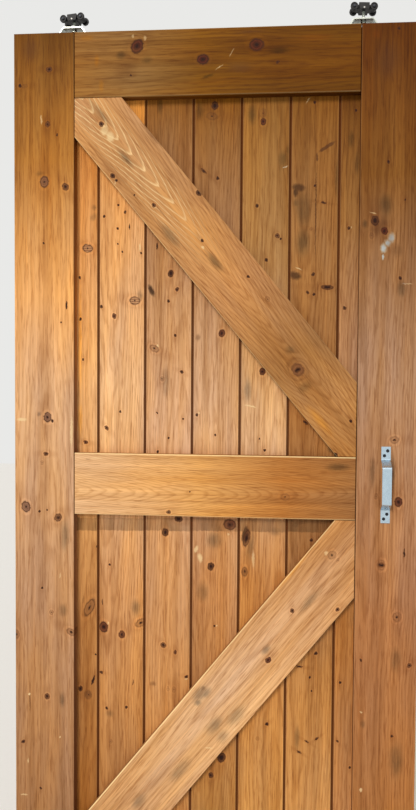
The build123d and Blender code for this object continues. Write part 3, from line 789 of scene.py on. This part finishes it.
dress_timber(
    "bottom_rail", LEVEL,
    [(0.0, "#C08C58"), (1.0, "#BC8854")],
    pith=(0, 60, 40), taper=0.03, ring_mm=5.5, contrast=0.38,
    knots=[("round", -211, 95, 8), ("pin", 60, 50, 4), ("round", 206, 72, 6)],
    stains=[("grey", 100, 32, 120, 25)], end_joint=0.6)

# %% [markdown]
# ## The braces
# Each brace is one plank laid corner to corner, with its grain along it. The upper one starts in a
# nest of pointed arches, where the saw cut close to the heart, so its pith lies just behind the face.

# %% Braces
upper_brace_lean, lower_brace_lean = -50.1, 51.0
dress_timber(
    "upper_brace", upper_brace_lean,
    [(0.0, "#D4A272"), (1.0, "#AC7944"), (0.17, "#C59464"), (0.40, "#CE9A65"), (0.55, "#C69364"),
     (0.75, "#A87B4C"), (0.88, "#BA8A59")],
    pith=(-232, 1846, -12), taper=0.19, ring_mm=8.5, contrast=0.42,
    knots=[("round", -266, 1888, 5.5), ("black", -239, 1769, 5), ("pin", -230, 1758, 3.4),
           ("pin", -187, 1723, 2.2), ("round", -142, 1700, 4.5), ("black", -37, 1727, 6),
           ("pin", -28, 1618, 3.8), ("pin", 79, 1535, 3.7), ("faint", 124, 1484, 5),
           ("grey", 195, 1322, 14), ("faint", 195, 1322, 20), ("pin", 317, 1205, 3.4),
           ("black", 284, 1128, 5)],
    stains=[("pale", -258, 1873, 15, 12, -30), ("pale", -245, 1859, 17, 11, -20),
            ("pale", -26, 1603, 6, 4), ("pale", -232, 1755, 1.6, 8, 40), ("pale", -154, 1880, 3, 3),
            ("grey", 175, 1366, 14, 12), ("amber", 136, 1287, 45, 12), ("grey", 214, 1285, 16, 20),
            ("grey", -272, 1916, 60, 13), ("grey", -210, 1809, 40, 12), ("grey", -104, 1632, 50, 16),
            ("amber", 247, 1208, 60, 14), ("brown", -147, 1861, 50, 8), ("grey", 2, 1569, 40, 14)],
    edge_wear_and_highlight=(0.1, 0.5), pale_lines_mm=520)
dress_timber(
    "lower_brace", lower_brace_lean,
    [(0.0, "#CD9E6E"), (1.0, "#C28F60"), (0.5, "#E3BA93"), (0.8, "#D6A679")],
    pith=(60, 600, 50), taper=-0.03, ring_mm=6.0, contrast=0.36,
    knots=[("ring", 278, 896, 9), ("faint", 291, 885, 4), ("round", 188, 763, 4.4, 40),
           ("round", 292, 770, 4.4), ("red", 133, 645, 6)],
    stains=[("pale", 267, 898, 7, 6), ("grey", 128, 669, 20, 11), ("grey", -13, 561, 24, 14),
            ("grey", -32, 538, 14, 12), ("grey", 59, 509, 46, 22), ("grey", 7, 483, 40, 20),
            ("grey", 28, 459, 26, 18), ("grey", -27, 558, 34, 20), ("grey", -172, 293, 30, 18),
            ("pale", 55, 477, 4, 3), ("pale", -5, 430, 14, 1.6, -51), ("amber", 186, 859, 90, 14),
            ("grey", 229, 790, 60, 14), ("brown", -20, 572, 10, 6), ("grey", -74, 373, 50, 20)],
    edge_wear_and_highlight=(1.0, 0.15))

# %% [markdown]
# ## The matchboards
# The boards behind the frame kept more of the orange stain, because the frame shades them. Stain has
# gathered in their V-joints. Each board's knots and blotches are listed with it, and one function gives
# all the boards what they share: upright grain and a pith behind them, now to the left, now to the right.

# %% Boards
def dress_board(node, tones, ring_mm, contrast, knots, stains):
    """Give one matchboard its pine, with a pith behind it to one side or the other."""
    low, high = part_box(node)
    centre_mm = (low.x + high.x) / 2 / MM
    hand = 1 if int(node[-1]) % 2 else -1
    dress_timber(node, UPRIGHT, tones, pith=(centre_mm + 30 * hand, 0, 60 + 8 * hand),
                 taper=0.02 * hand, ring_mm=ring_mm, contrast=contrast, knots=knots, stains=stains,
                 edge_wear_and_highlight=(0.1, 0.1), joint=0.88, recess=0.0)


# On every board but the last, a band at about 950 mm is the painted shadow of the middle rail.
dress_board(
    "board_1", [(0.0, "#8F5612"), (1.0, "#D28324"), (0.35, "#B37F4E"), (0.65, "#F5C18C")], 4.5, 0.35,
    knots=[("striped", -306, 1607, 9.5, 80), ("pin", -325, 1538, 3.4, 20), ("pin", -323, 1440, 3.4),
           ("pin", -317, 1344, 2.7), ("red", -310, 1146, 4.6, 80), ("pin", -283, 896, 2.5),
           ("spike", -301, 747, 11, -26), ("slit", -292, 570, 2.6, -18), ("black", -323, 548, 5.5),
           ("pin", -286, 633, 2.2, 60), ("faint", -304, 533, 8)],
    stains=[("grey", -293, 1680, 10, 15, 60), ("grey", -291, 1702, 10, 8), ("brown", -314, 766, 3, 14, 85),
            ("amber", -324, 1390, 200, 7), ("brown", -307, 535, 16, 12), ("amber", -324, 1199, 60, 8),
            ("painted_rail_shadow", -305, 949, 17, 400)])
dress_board(
    "board_2", [(0.0, "#9A6A3A"), (1.0, "#EAA24A"), (0.4, "#D59D68"), (0.65, "#F2C69C")], 4.5, 0.42,
    knots=[("pin", -266, 1682, 3.1), ("pin", -232, 1707, 2.5), ("pin", -216, 1691, 3.1),
           ("pin", -233, 1653, 2.9), ("slit", -205, 1657, 1.5), ("pin", -233, 1617, 2),
           ("pin", -223, 1598, 2.2), ("pin", -177, 1595, 2.5), ("striped", -192, 1483, 9.5, 84),
           ("red", -241, 1447, 5.2), ("pin", -272, 1470, 3.4, 40), ("pin", -226, 1220, 2.7),
           ("round", -259, 1181, 4.6, 40), ("pin", -252, 853, 2.9), ("red", -266, 701, 10.5, 10),
           ("red", -222, 684, 7.6), ("eye", -176, 714, 9, -60), ("slit", -269, 761, 1.5),
           ("pin", -272, 590, 3.4, 80), ("slit", -194, 569, 1.5), ("pin", -258, 503, 3.4, 30),
           ("pin", -210, 507, 3.4), ("faint", -248, 422, 4)],
    stains=[("grey", -182, 1494, 20, 10), ("grey", -187, 750, 28, 18), ("pale", -257, 710, 5, 2.4),
            ("grey", -250, 489, 12, 14), ("pale", -181, 1609, 12, 3), ("painted_rail_shadow", -222, 951, 17, 400)])
dress_board(
    "board_3", [(0.0, "#C68E50"), (1.0, "#8C5A1D"), (0.4, "#D09C6D"), (0.6, "#E5B790")], 5.0, 0.40,
    knots=[("slit", -139, 1611, 1.7), ("black", -106, 1547, 6.8, -12), ("round", -91, 1510, 4.5, -40),
           ("pin", -111, 1482, 3.4, 20), ("pin", -95, 1402, 3.1), ("eye", -145, 1371, 7.5, 60),
           ("pin", -79, 1316, 3.7, 60), ("ring", -125, 1299, 5, -30), ("pin", -137, 1218, 2.4),
           ("pin", -75, 1205, 2.5), ("pin", -109, 1159, 2.7), ("pin", -135, 1126, 3.1),
           ("black", -85, 967, 7.5, 80), ("black", -116, 934, 7.5), ("round", -120, 662, 5.8, 40),
           ("red", -91, 646, 4), ("pin", -64, 588, 3.7, 80), ("faint", -108, 556, 4),
           ("faint", -94, 555, 5)],
    stains=[("grey", -133, 1938, 28, 11), ("black", -152, 1507, 20, 8, 25), ("grey", -116, 1292, 50, 13),
            ("pale", -64, 582, 3, 5), ("brown", -144, 567, 8, 12), ("painted_rail_shadow", -105, 953, 17, 400),
            ("pale", -139, 1377, 5, 4)])

# %% The middle and right boards
dress_board(
    "board_4", [(0.0, "#9D7339"), (1.0, "#88560F"), (0.4, "#C99262"), (0.6, "#DFB38D")], 5.0, 0.38,
    knots=[("black", -4, 1934, 7.8), ("faint", -11, 1910, 9, 80), ("streak", -29, 1784, 3.4, 48),
           ("pin", 4, 1767, 3.6), ("red", 16, 1407, 7.4, -20), ("pin", -42, 1215, 3.4),
           ("pin", 2, 1168, 2.5), ("red", 38, 956, 12.5, 80), ("black", -6, 855, 7.8),
           ("pin", 3, 713, 2.5), ("black", 22, 395, 9.5, -20), ("black", -3, 351, 6)],
    stains=[("brown", -40, 1397, 12, 9), ("pale", -38, 1219, 4, 3), ("grey", 38, 953, 22, 22),
            ("pale", 38, 933, 3, 4, 60), ("pale", -41, 896, 12, 6, -20), ("grey", -25, 794, 34, 20),
            ("pale", -31, 875, 14, 8, 15), ("pale", 8, 714, 2.4, 2.4), ("grey", -39, 1925, 30, 14),
            ("painted_rail_shadow", 10, 955, 17, 400), ("grey", 3, 919, 30, 28)])
dress_board(
    "board_5", [(0.0, "#CA9757"), (1.0, "#97672A"), (0.42, "#C78D55"), (0.6, "#E9BF97"),
                (0.8, "#B78A56")], 5.5, 0.42,
    knots=[("red", 109, 1895, 6.6), ("faint", 108, 1915, 8), ("pin", 97, 1703, 3.9),
           ("round", 144, 1633, 5, 40), ("pin", 152, 1626, 2.5, 60), ("pin", 119, 1577, 3.9, 20),
           ("red", 112, 1318, 6.8), ("pin", 106, 1161, 2.4), ("pin", 119, 1134, 2.9),
           ("streak", 78, 925, 8, -12), ("eye", 74, 845, 7), ("pin", 130, 482, 3.7, -50),
           ("faint", 108, 446, 4)],
    stains=[("grey", 85, 1913, 34, 15), ("grey", 156, 1807, 30, 18), ("grey", 167, 1829, 20, 8),
            ("pale", 161, 1791, 1.5, 8, 15), ("grey", 79, 1275, 42, 13), ("pale", 84, 1237, 2.2, 17, -12),
            ("black", 76, 937, 30, 8, -10), ("grey", 86, 909, 50, 14, -8), ("scratch", 93, 874, 26, 4),
            ("grey", 145, 946, 20, 24), ("brown", 74, 844, 18, 9), ("painted_rail_shadow", 128, 956, 17, 400)])
dress_board(
    "board_6", [(0.0, "#DEA461"), (1.0, "#8C5B1D"), (0.42, "#A97A4E"), (0.62, "#AD7A49"),
                (0.82, "#A4774A")], 6.0, 0.45,
    knots=[("pin", 227, 1936, 3.6), ("pin", 230, 1747, 2.7), ("streak", 250, 1708, 2.6, 80),
           ("faint", 222, 1648, 3.4, 80), ("pin", 228, 1544, 3.9), ("streak", 261, 1514, 5.6, 87),
           ("pin", 216, 1502, 3.9, 30), ("pin", 230, 1498, 3.1, -20), ("streak", 214, 1200, 3, 48),
           ("pin", 231, 924, 3.9, 20), ("pin", 244, 656, 3.9, -30), ("streak", 206, 623, 3, 84),
           ("pin", 231, 598, 2.7), ("pin", 235, 566, 2.5), ("streak", 225, 444, 2.2, 60),
           ("streak", 248, 452, 2.2, -50), ("streak", 207, 418, 2.4, 60)],
    stains=[("scratch", 212, 1941, 11, 2.2, -30), ("slit", 256, 1835, 26, 5, -58),
            ("slit", 232, 1682, 130, 1.6), ("slit", 234, 1812, 12, 3), ("black", 193, 1743, 12, 20, -10),
            ("black", 186, 1733, 16, 8), ("grey", 204, 1616, 48, 26), ("grey", 189, 1708, 18, 14),
            ("grey", 203, 1696, 60, 28), ("black", 186, 1541, 12, 20, -15),
            ("pale", 194, 1557, 1.6, 11, -25), ("grey", 280, 1759, 66, 7), ("grey", 274, 1139, 14, 12),
            ("brown", 206, 964, 8, 18), ("grey", 202, 452, 40, 9), ("painted_rail_shadow", 239, 958, 17, 400),
            ("grey", 194, 959, 16, 20)])
dress_board(
    "board_7", [(0.0, "#BD8B61"), (1.0, "#6A3F08"), (0.4, "#B57C44"), (0.66, "#C49775"),
                (0.85, "#A1713C")], 5.0, 0.40,
    knots=[("pin", 322, 1917, 3.2), ("pin", 309, 1649, 3.4), ("pin", 301, 1466, 3.9),
           ("pin", 302, 589, 3.1), ("pin", 297, 448, 2.9, 30), ("pin", 327, 387, 2.9)],
    stains=[("grey", 326, 1797, 34, 9), ("pale", 314, 1651, 3, 2), ("brown", 335, 739, 40, 9),
            ("grey", 311, 1850, 30, 10)])

# %% [markdown]
# ## Zinc and steel
# Four finishes of steel hang and open the door. The pull handle is galvanised strap: molten zinc froze
# on it in pale crystals a few millimetres across, so its brightness changes a little from patch to
# patch. Brackets, bolts and nuts are zinc-plated in a bath, which leaves an even, slightly cool shine.
# The trolleys' pins are bright drawn steel, and axles, screws and nails are blackened. All are metals,
# so the colour is that of the reflection, and the default index of refraction stays.

# %% Metals
def metal(name, tone, dark_tone, patch_mm, roughness, uneven):
    """A metal whose brightness and gloss change over patches of the given size."""
    grime_mm, darkest_at, glossier, duller = 6.25, 0.55, 0.06, 0.1
    material, tree, spot = new_material(name)
    crystals = add(tree, "TexVoronoi", {"Vector": spot, "Scale": 1 / (patch_mm * MM)}).outputs["Color"]
    facet = add(tree, "SeparateXYZ", {0: crystals}).outputs["X"]
    grime = add(tree, "TexNoise", {"Vector": spot, "Scale": 1 / (grime_mm * MM), "Detail": 4.0})
    patch = add(tree, "Math", {0: facet, 1: grime}, operation="MULTIPLY")
    taken = take_readings(tree, {
        "dark": (patch, 0.0, darkest_at, 0.0, uneven),
        "roughness": (patch, 0.0, darkest_at, roughness - glossier, roughness + duller),
    })
    colour = add(tree, "Mix", {"Factor": taken["dark"], "A": linear(tone), "B": linear(dark_tone)},
                 data_type="RGBA")
    bump = add(tree, "Bump", {"Strength": 0.12, "Distance": 0.2 * MM, "Height": patch})
    shader = add(tree, "BsdfPrincipled", {"Base Color": colour, "Metallic": 1.0,
                 "Roughness": taken["roughness"], "Normal": bump})
    add(tree, "OutputMaterial", {"Surface": shader})
    return material


hands = ("left", "right")
galvanised_strap = metal("galvanised_steel_strap", "#C8DDEC", "#9DB3C4", 4.0, 0.30, 0.5)
zinc_plate = metal("zinc_plated_steel", "#B3B8B2", "#858A84", 3.0, 0.30, 0.5)
steel_pin = metal("bright_drawn_steel", "#D8D6D0", "#98958F", 2.0, 0.28, 0.5)
blackened = metal("blackened_steel", "#4B4E55", "#26272C", 2.0, 0.42, 0.7)
dress(galvanised_strap, "pull_handle")
for hand in hands:
    dress(zinc_plate, *[f"{hand}_{part}" for part in ("bracket", "lower_nut", "lock_nut")])
    dress(steel_pin, f"{hand}_trolley_pins")
    dress(blackened, f"{hand}_axle_a", f"{hand}_axle_b")
print("metals:", galvanised_strap.name, zinc_plate.name, steel_pin.name, blackened.name)

# %% [markdown]
# ## Black nylon
# Wheels and trolley bodies are moulded in black nylon: nearly black, smooth but not polished, with a
# faint grain from the mould. A running wheel is scuffed a little lighter. The mould's real grain is
# finer than 2 mm, which is the finest that shows in the picture.

# %% Nylon
def nylon(name, tone, scuff_tone, roughness):
    """Moulded black nylon with a fine grain and light scuffs."""
    grain_mm, dust_mm = 2.0, 8.3333
    material, tree, spot = new_material(name)
    grain = add(tree, "TexNoise", {"Vector": spot, "Scale": 1 / (grain_mm * MM)})
    dust = add(tree, "TexNoise", {"Vector": spot, "Scale": 1 / (dust_mm * MM), "Detail": 4.0})
    scuff_from, scuff_full = 0.5, 0.8
    share = add(tree, "MapRange", {"Value": dust, "From Min": scuff_from, "From Max": scuff_full})
    colour = add(tree, "Mix", {"Factor": share, "A": linear(tone), "B": linear(scuff_tone)},
                 data_type="RGBA")
    bump = add(tree, "Bump", {"Strength": 0.2, "Distance": 0.1 * MM, "Height": grain})
    shader = add(tree, "BsdfPrincipled", {"Base Color": colour, "Roughness": roughness,
                 "IOR": 1.53, "Specular IOR Level": 0.35, "Normal": bump})
    add(tree, "OutputMaterial", {"Surface": shader})
    return material


moulded_body = nylon("moulded_black_nylon", "#0E0E10", "#2C2C2F", 0.45)
running_wheel = nylon("turned_black_nylon", "#0F0F11", "#363638", 0.5)
for hand in hands:
    dress(moulded_body, f"{hand}_trolley_body")
    dress(running_wheel, *[f"{hand}_wheel_{end}_{face}" for end in "ab" for face in ("front", "rear")])
print("nylon:", moulded_body.name, running_wheel.name)

# %% [markdown]
# ## Wood screws with a cross recess
# The CAD screws are plain cones. What one sees of a real screw is its flat head with a tapered cross in
# it, so the head is drawn as a round outline with a cross cut out, filled between the two, and the cross
# is carried down into the head. The rest is turned: rings of points joined like the staves of a barrel.
# Hidden shanks stay plain. No two screws stop at the same angle, so each has its own turn.

# %% Turned bodies, and parts set in their place
def ring_of(shape, radius, height, steps):
    """A ring of points around the Z axis, with its radius and height in mm."""
    return [shape.verts.new((radius * MM * math.cos(math.tau * k / steps),
            radius * MM * math.sin(math.tau * k / steps), height * MM)) for k in range(steps)]


def turn_body(shape, profile, steps, ring=None):
    """Join rings of points, (radius, height) in mm, from a first one if given; returns the last."""
    for radius, height in profile:
        fresh = ring_of(shape, radius, height, steps)
        if ring:
            for k in range(steps):
                shape.faces.new((ring[k], fresh[k], fresh[(k + 1) % steps], ring[(k + 1) % steps]))
        ring = fresh
    return ring


def set_in(shape, part, place):
    """Move a finished part to its place and make it one with a shape."""
    part.transform(place)
    bmesh.ops.recalc_face_normals(part, faces=part.faces)
    holder = bpy.data.meshes.new("one_part")
    part.to_mesh(holder)
    part.free()
    shape.from_mesh(holder)
    bpy.data.meshes.remove(holder)


def finish_piece(shape, name, material, node, sharp_degrees=35):
    """Turn a built shape into an object that rides on the door and stands for a CAD node."""
    mesh = bpy.data.meshes.new(name)
    shape.to_mesh(mesh)
    shape.free()
    mesh.materials.append(material)
    mesh.shade_smooth()
    mesh.set_sharp_from_angle(angle=math.radians(sharp_degrees))
    piece = bpy.data.objects.new(name, mesh)
    bpy.context.scene.collection.objects.link(piece)
    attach(piece, "door")
    if node:
        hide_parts(node)
    print(name, len(mesh.vertices), "points")


# %% One screw
head_radius, head_height, shank_radius, screw_length = 3.8, 2.2, 2.0, 26.0
point_length, tip_radius, screw_steps = 4.0, 0.2, 24
arm_reach, arm_half, recess_depth, recess_foot_share = 2.3, 0.55, 1.7, 0.45


def add_screw(shape, place, turn):
    """Add one countersunk screw that points along the local -Z, with its head at zero."""
    made = bmesh.new()
    rim = ring_of(made, head_radius, 0.0, screw_steps)
    cross = []
    for quarter in range(4):
        angle = math.pi / 2 * quarter
        for x, y in ((arm_half, arm_half), (arm_half, arm_reach), (-arm_half, arm_reach)):
            cross.append((x * math.cos(angle) - y * math.sin(angle),
                          x * math.sin(angle) + y * math.cos(angle)))
    lip = [made.verts.new((x * MM, y * MM, 0)) for x, y in cross]
    foot = [made.verts.new((x * recess_foot_share * MM, y * recess_foot_share * MM, -recess_depth * MM))
            for x, y in cross]
    around = [made.edges.new((ring[k], ring[(k + 1) % len(ring)])) for ring in (rim, lip)
              for k in range(len(ring))]
    bmesh.ops.triangle_fill(made, edges=around, use_beauty=True, normal=(0, 0, 1))
    for k in range(len(lip)):
        n = (k + 1) % len(lip)
        made.faces.new((lip[k], lip[n], foot[n], foot[k]))
    made.faces.new(foot)
    profile = [(shank_radius, -head_height), (shank_radius, point_length - screw_length),
               (tip_radius, -screw_length)]
    made.faces.new(turn_body(made, profile, screw_steps, rim))
    set_in(shape, made, place @ Matrix.Rotation(math.radians(turn), 4, "Z"))


print("a cross of", 2 * arm_reach, "mm in a head of", 2 * head_radius, "mm")


# %% Screws in the handle and in the two brackets
def middle_of(node):
    """The middle of a CAD node's box."""
    low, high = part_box(node)
    return (low + high) / 2


door_front, door_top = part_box("left_stile")[0].y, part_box("left_stile")[1].z
strap_mm, pad_centre_mm, foot_centre_mm = 2.5, 72.5, 43.5
screw_across_mm, screw_along_mm = 3.6, 5.6
turns = [12, 57, 33, 80, 5, 68, 41, 26]
# Each of the two pads or feet holds two screws, a little apart both ways.
pairs = [(1, 1), (1, -1), (-1, 1), (-1, -1)]
into_door = Matrix.Rotation(math.radians(90), 4, "X")

screws = bmesh.new()
handle = middle_of("pull_handle")
for (pad, way), turn in zip(pairs, turns):
    across, up = way * screw_across_mm * MM, (pad * pad_centre_mm + way * screw_along_mm) * MM
    spot = Vector((handle.x + across, door_front - strap_mm * MM, handle.z + up))
    add_screw(screws, Matrix.Translation(spot) @ into_door, turn)
finish_piece(screws, "cross_head_handle_screws", blackened, "handle_screws")

for hand in hands:
    screws = bmesh.new()
    hanger = middle_of(f"{hand}_bracket")
    for (foot, way), turn in zip(pairs, turns[4:]):
        across = (foot * foot_centre_mm + way * screw_across_mm) * MM
        spot = Vector((hanger.x + across, way * screw_along_mm * MM, door_top + strap_mm * MM))
        add_screw(screws, Matrix.Translation(spot), turn)
    finish_piece(screws, f"{hand}_cross_head_bracket_screws", blackened, f"{hand}_bracket_screws")

# %% [markdown]
# ## Threaded hanger bolts
# The door hangs on two M6 bolts, and between trolley and bracket their thread is in plain sight. A
# thread is one groove that winds down a rod, so it is built as it is cut: three points, root and both
# edges of the crest, are stepped round the axis and down by one pitch a turn.

# %% Bolts with a real thread
across_flats, bolt_head_height, head_turned, head_end_share = 10.0, 4.0, 0.6, 0.90
bolt_length, bolt_end, thread_in_head = 35.0, 1.6, 0.4
end_chamfer, chamfer_length = 0.4, 0.75
pitch, root_radius, crest_radius, thread_steps = 1.0, 2.5, 2.98, 16
thread_profile = ((root_radius, 0.0), (crest_radius, 0.40), (crest_radius, 0.60))
thread_sharp_degrees = 25


def add_head(bolt):
    """A hexagon whose corners are turned down at both ends."""
    corner = across_flats / math.sqrt(3)
    low = ring_of(bolt, corner * head_end_share, 0.0, 6)
    high = turn_body(bolt, [(corner, head_turned), (corner, bolt_head_height - head_turned),
                            (corner * head_end_share, bolt_head_height)], 6, low)
    bolt.faces.new(high)
    bolt.faces.new(low[::-1])


def add_thread(bolt):
    """The thread, from just inside the head down to the chamfered end."""
    rows = []
    for k in range(int((bolt_length - bolt_end) / pitch * thread_steps) + 1):
        angle, height = math.tau * k / thread_steps, thread_in_head - k / thread_steps * pitch
        rows.append([bolt.verts.new((radius * MM * math.cos(angle), radius * MM * math.sin(angle),
                     (height - drop * pitch) * MM)) for radius, drop in thread_profile])
    for k in range(len(rows) - 1):
        here, there = rows[k], rows[k + 1]
        bolt.faces.new((here[0], here[1], there[1], there[0]))
        bolt.faces.new((here[1], here[2], there[2], there[1]))
        if k + thread_steps + 1 < len(rows):
            bolt.faces.new((here[2], rows[k + thread_steps][0], rows[k + thread_steps + 1][0], there[2]))
    end_from, chamfer_from = bolt_end + pitch - bolt_length, chamfer_length - bolt_length
    bolt.faces.new(turn_body(bolt, [(root_radius, end_from), (root_radius, chamfer_from),
                                    (root_radius - end_chamfer, -bolt_length)], thread_steps))


for hand in hands:
    bolt = bmesh.new()
    add_head(bolt)
    add_thread(bolt)
    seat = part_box(f"{hand}_bolt")[1].z - bolt_head_height * MM
    bolt.transform(Matrix.Translation((middle_of(f"{hand}_bolt").x, 0, seat)))
    bmesh.ops.recalc_face_normals(bolt, faces=bolt.faces)
    finish_piece(bolt, f"{hand}_threaded_hanger_bolt", zinc_plate, f"{hand}_bolt",
                 thread_sharp_degrees)

# %% [markdown]
# ## Nail heads on the back
# Matchboards are nailed to their rails from behind, in two rows at each rail: two nails in a row on a
# whole board, and one on a ripped board. Only the heads show: flat discs with a rounded rim, hammered
# almost flush. They are turned like the screws.

# %% Nails through the boards into the middle and bottom rails
nail_radius, nail_proud, nail_shank, nail_length, nail_steps = 2.4, 0.25, 1.2, 4.0, 16
under_head, rim_share, rim_in = 0.5, 0.6, 0.3
nail_profile = [(nail_shank, -nail_length), (nail_shank, -under_head), (nail_radius, 0.0),
                (nail_radius, nail_proud * rim_share), (nail_radius - rim_in, nail_proud)]
from_board_edge, least_gap = 24.0 * MM, 12.0 * MM
row_from_middle_mm = {"middle_rail": 38.0, "bottom_rail": 35.0}
nail_heights = [middle_of(rail).z + way * distance * MM
                for rail, distance in row_from_middle_mm.items() for way in (-1, 1)]
door_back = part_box("board_4")[1].y
seen_half = stile_edge - 1.5 * MM
out_of_door = Matrix.Rotation(math.radians(-90), 4, "X")

nails = bmesh.new()
for number in range(1, 8):
    low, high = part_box(f"board_{number}")
    left, right = max(low.x, -seen_half) + from_board_edge, min(high.x, seen_half) - from_board_edge
    for x in ((left, right) if right - left > least_gap else ((left + right) / 2,)):
        for z in nail_heights:
            nail = bmesh.new()
            nail.faces.new(turn_body(nail, nail_profile, nail_steps))
            set_in(nails, nail, Matrix.Translation((x, door_back, z)) @ out_of_door)
finish_piece(nails, "board_nail_heads", blackened, None)

# %% [markdown]
# ## Floor, world and lights
# A plain pale floor, a pale even sky all round and one soft sun from the upper left. The sky and the
# sun are set so that a face turned to the camera is lit at about one: a colour then renders about as it
# is written. The sun is as wide as a window, so its shadows are soft, and it comes from above and a
# little from the left, so they fall on the boards to the right of the left stile and under the rails.

# %% Stage and light
floor_mesh = bpy.data.meshes.new("studio_floor")
shape = bmesh.new()
floor_half = 8.0
bmesh.ops.create_grid(shape, x_segments=1, y_segments=1, size=floor_half)
shape.to_mesh(floor_mesh)
shape.free()
floor = bpy.data.objects.new("studio_floor", floor_mesh)
bpy.context.scene.collection.objects.link(floor)

floor_material, floor_tree, _ = new_material("pale_matt_floor")
floor_shader = add(floor_tree, "BsdfPrincipled", {"Base Color": linear("#FDFCFA"), "Roughness": 0.9})
add(floor_tree, "OutputMaterial", {"Surface": floor_shader})
floor_mesh.materials.append(floor_material)

# What the camera and the reflections see of the sky is brighter than what lights the door.
sky_light, sky_seen = 0.60, 1.0
world = bpy.data.worlds.new("pale_studio")
bpy.context.scene.world = world
world.use_nodes = True
sky = world.node_tree
sky.nodes.clear()
rays = add(sky, "LightPath").outputs
seen = rays["Is Camera Ray"]
for kind in ("Is Glossy Ray", "Is Transmission Ray"):
    seen = add(sky, "Math", {0: seen, 1: rays[kind]}, operation="MAXIMUM")
strength = add(sky, "MapRange", {"Value": seen, "To Min": sky_light, "To Max": sky_seen})
backdrop = add(sky, "Background", {"Color": linear("#E9E9E7"), "Strength": strength})
add(sky, "OutputWorld", {"Surface": backdrop})

sun_strength, sun_width_degrees, sunlight = 2.0, 20, Vector((8, 26, -17))
sun_data = bpy.data.lights.new("soft_sun", "SUN")
sun_data.energy = sun_strength
sun_data.angle = math.radians(sun_width_degrees)
sun_data.color = linear("#FFF6EA")[:3]
sun = bpy.data.objects.new("soft_sun", sun_data)
sun.rotation_mode = "QUATERNION"
sun.rotation_quaternion = sunlight.to_track_quat("-Z", "Y")
bpy.context.scene.collection.objects.link(sun)
bpy.context.scene.view_settings.view_transform = "Standard"
print("sky", sky_light, "sun", sun_strength)
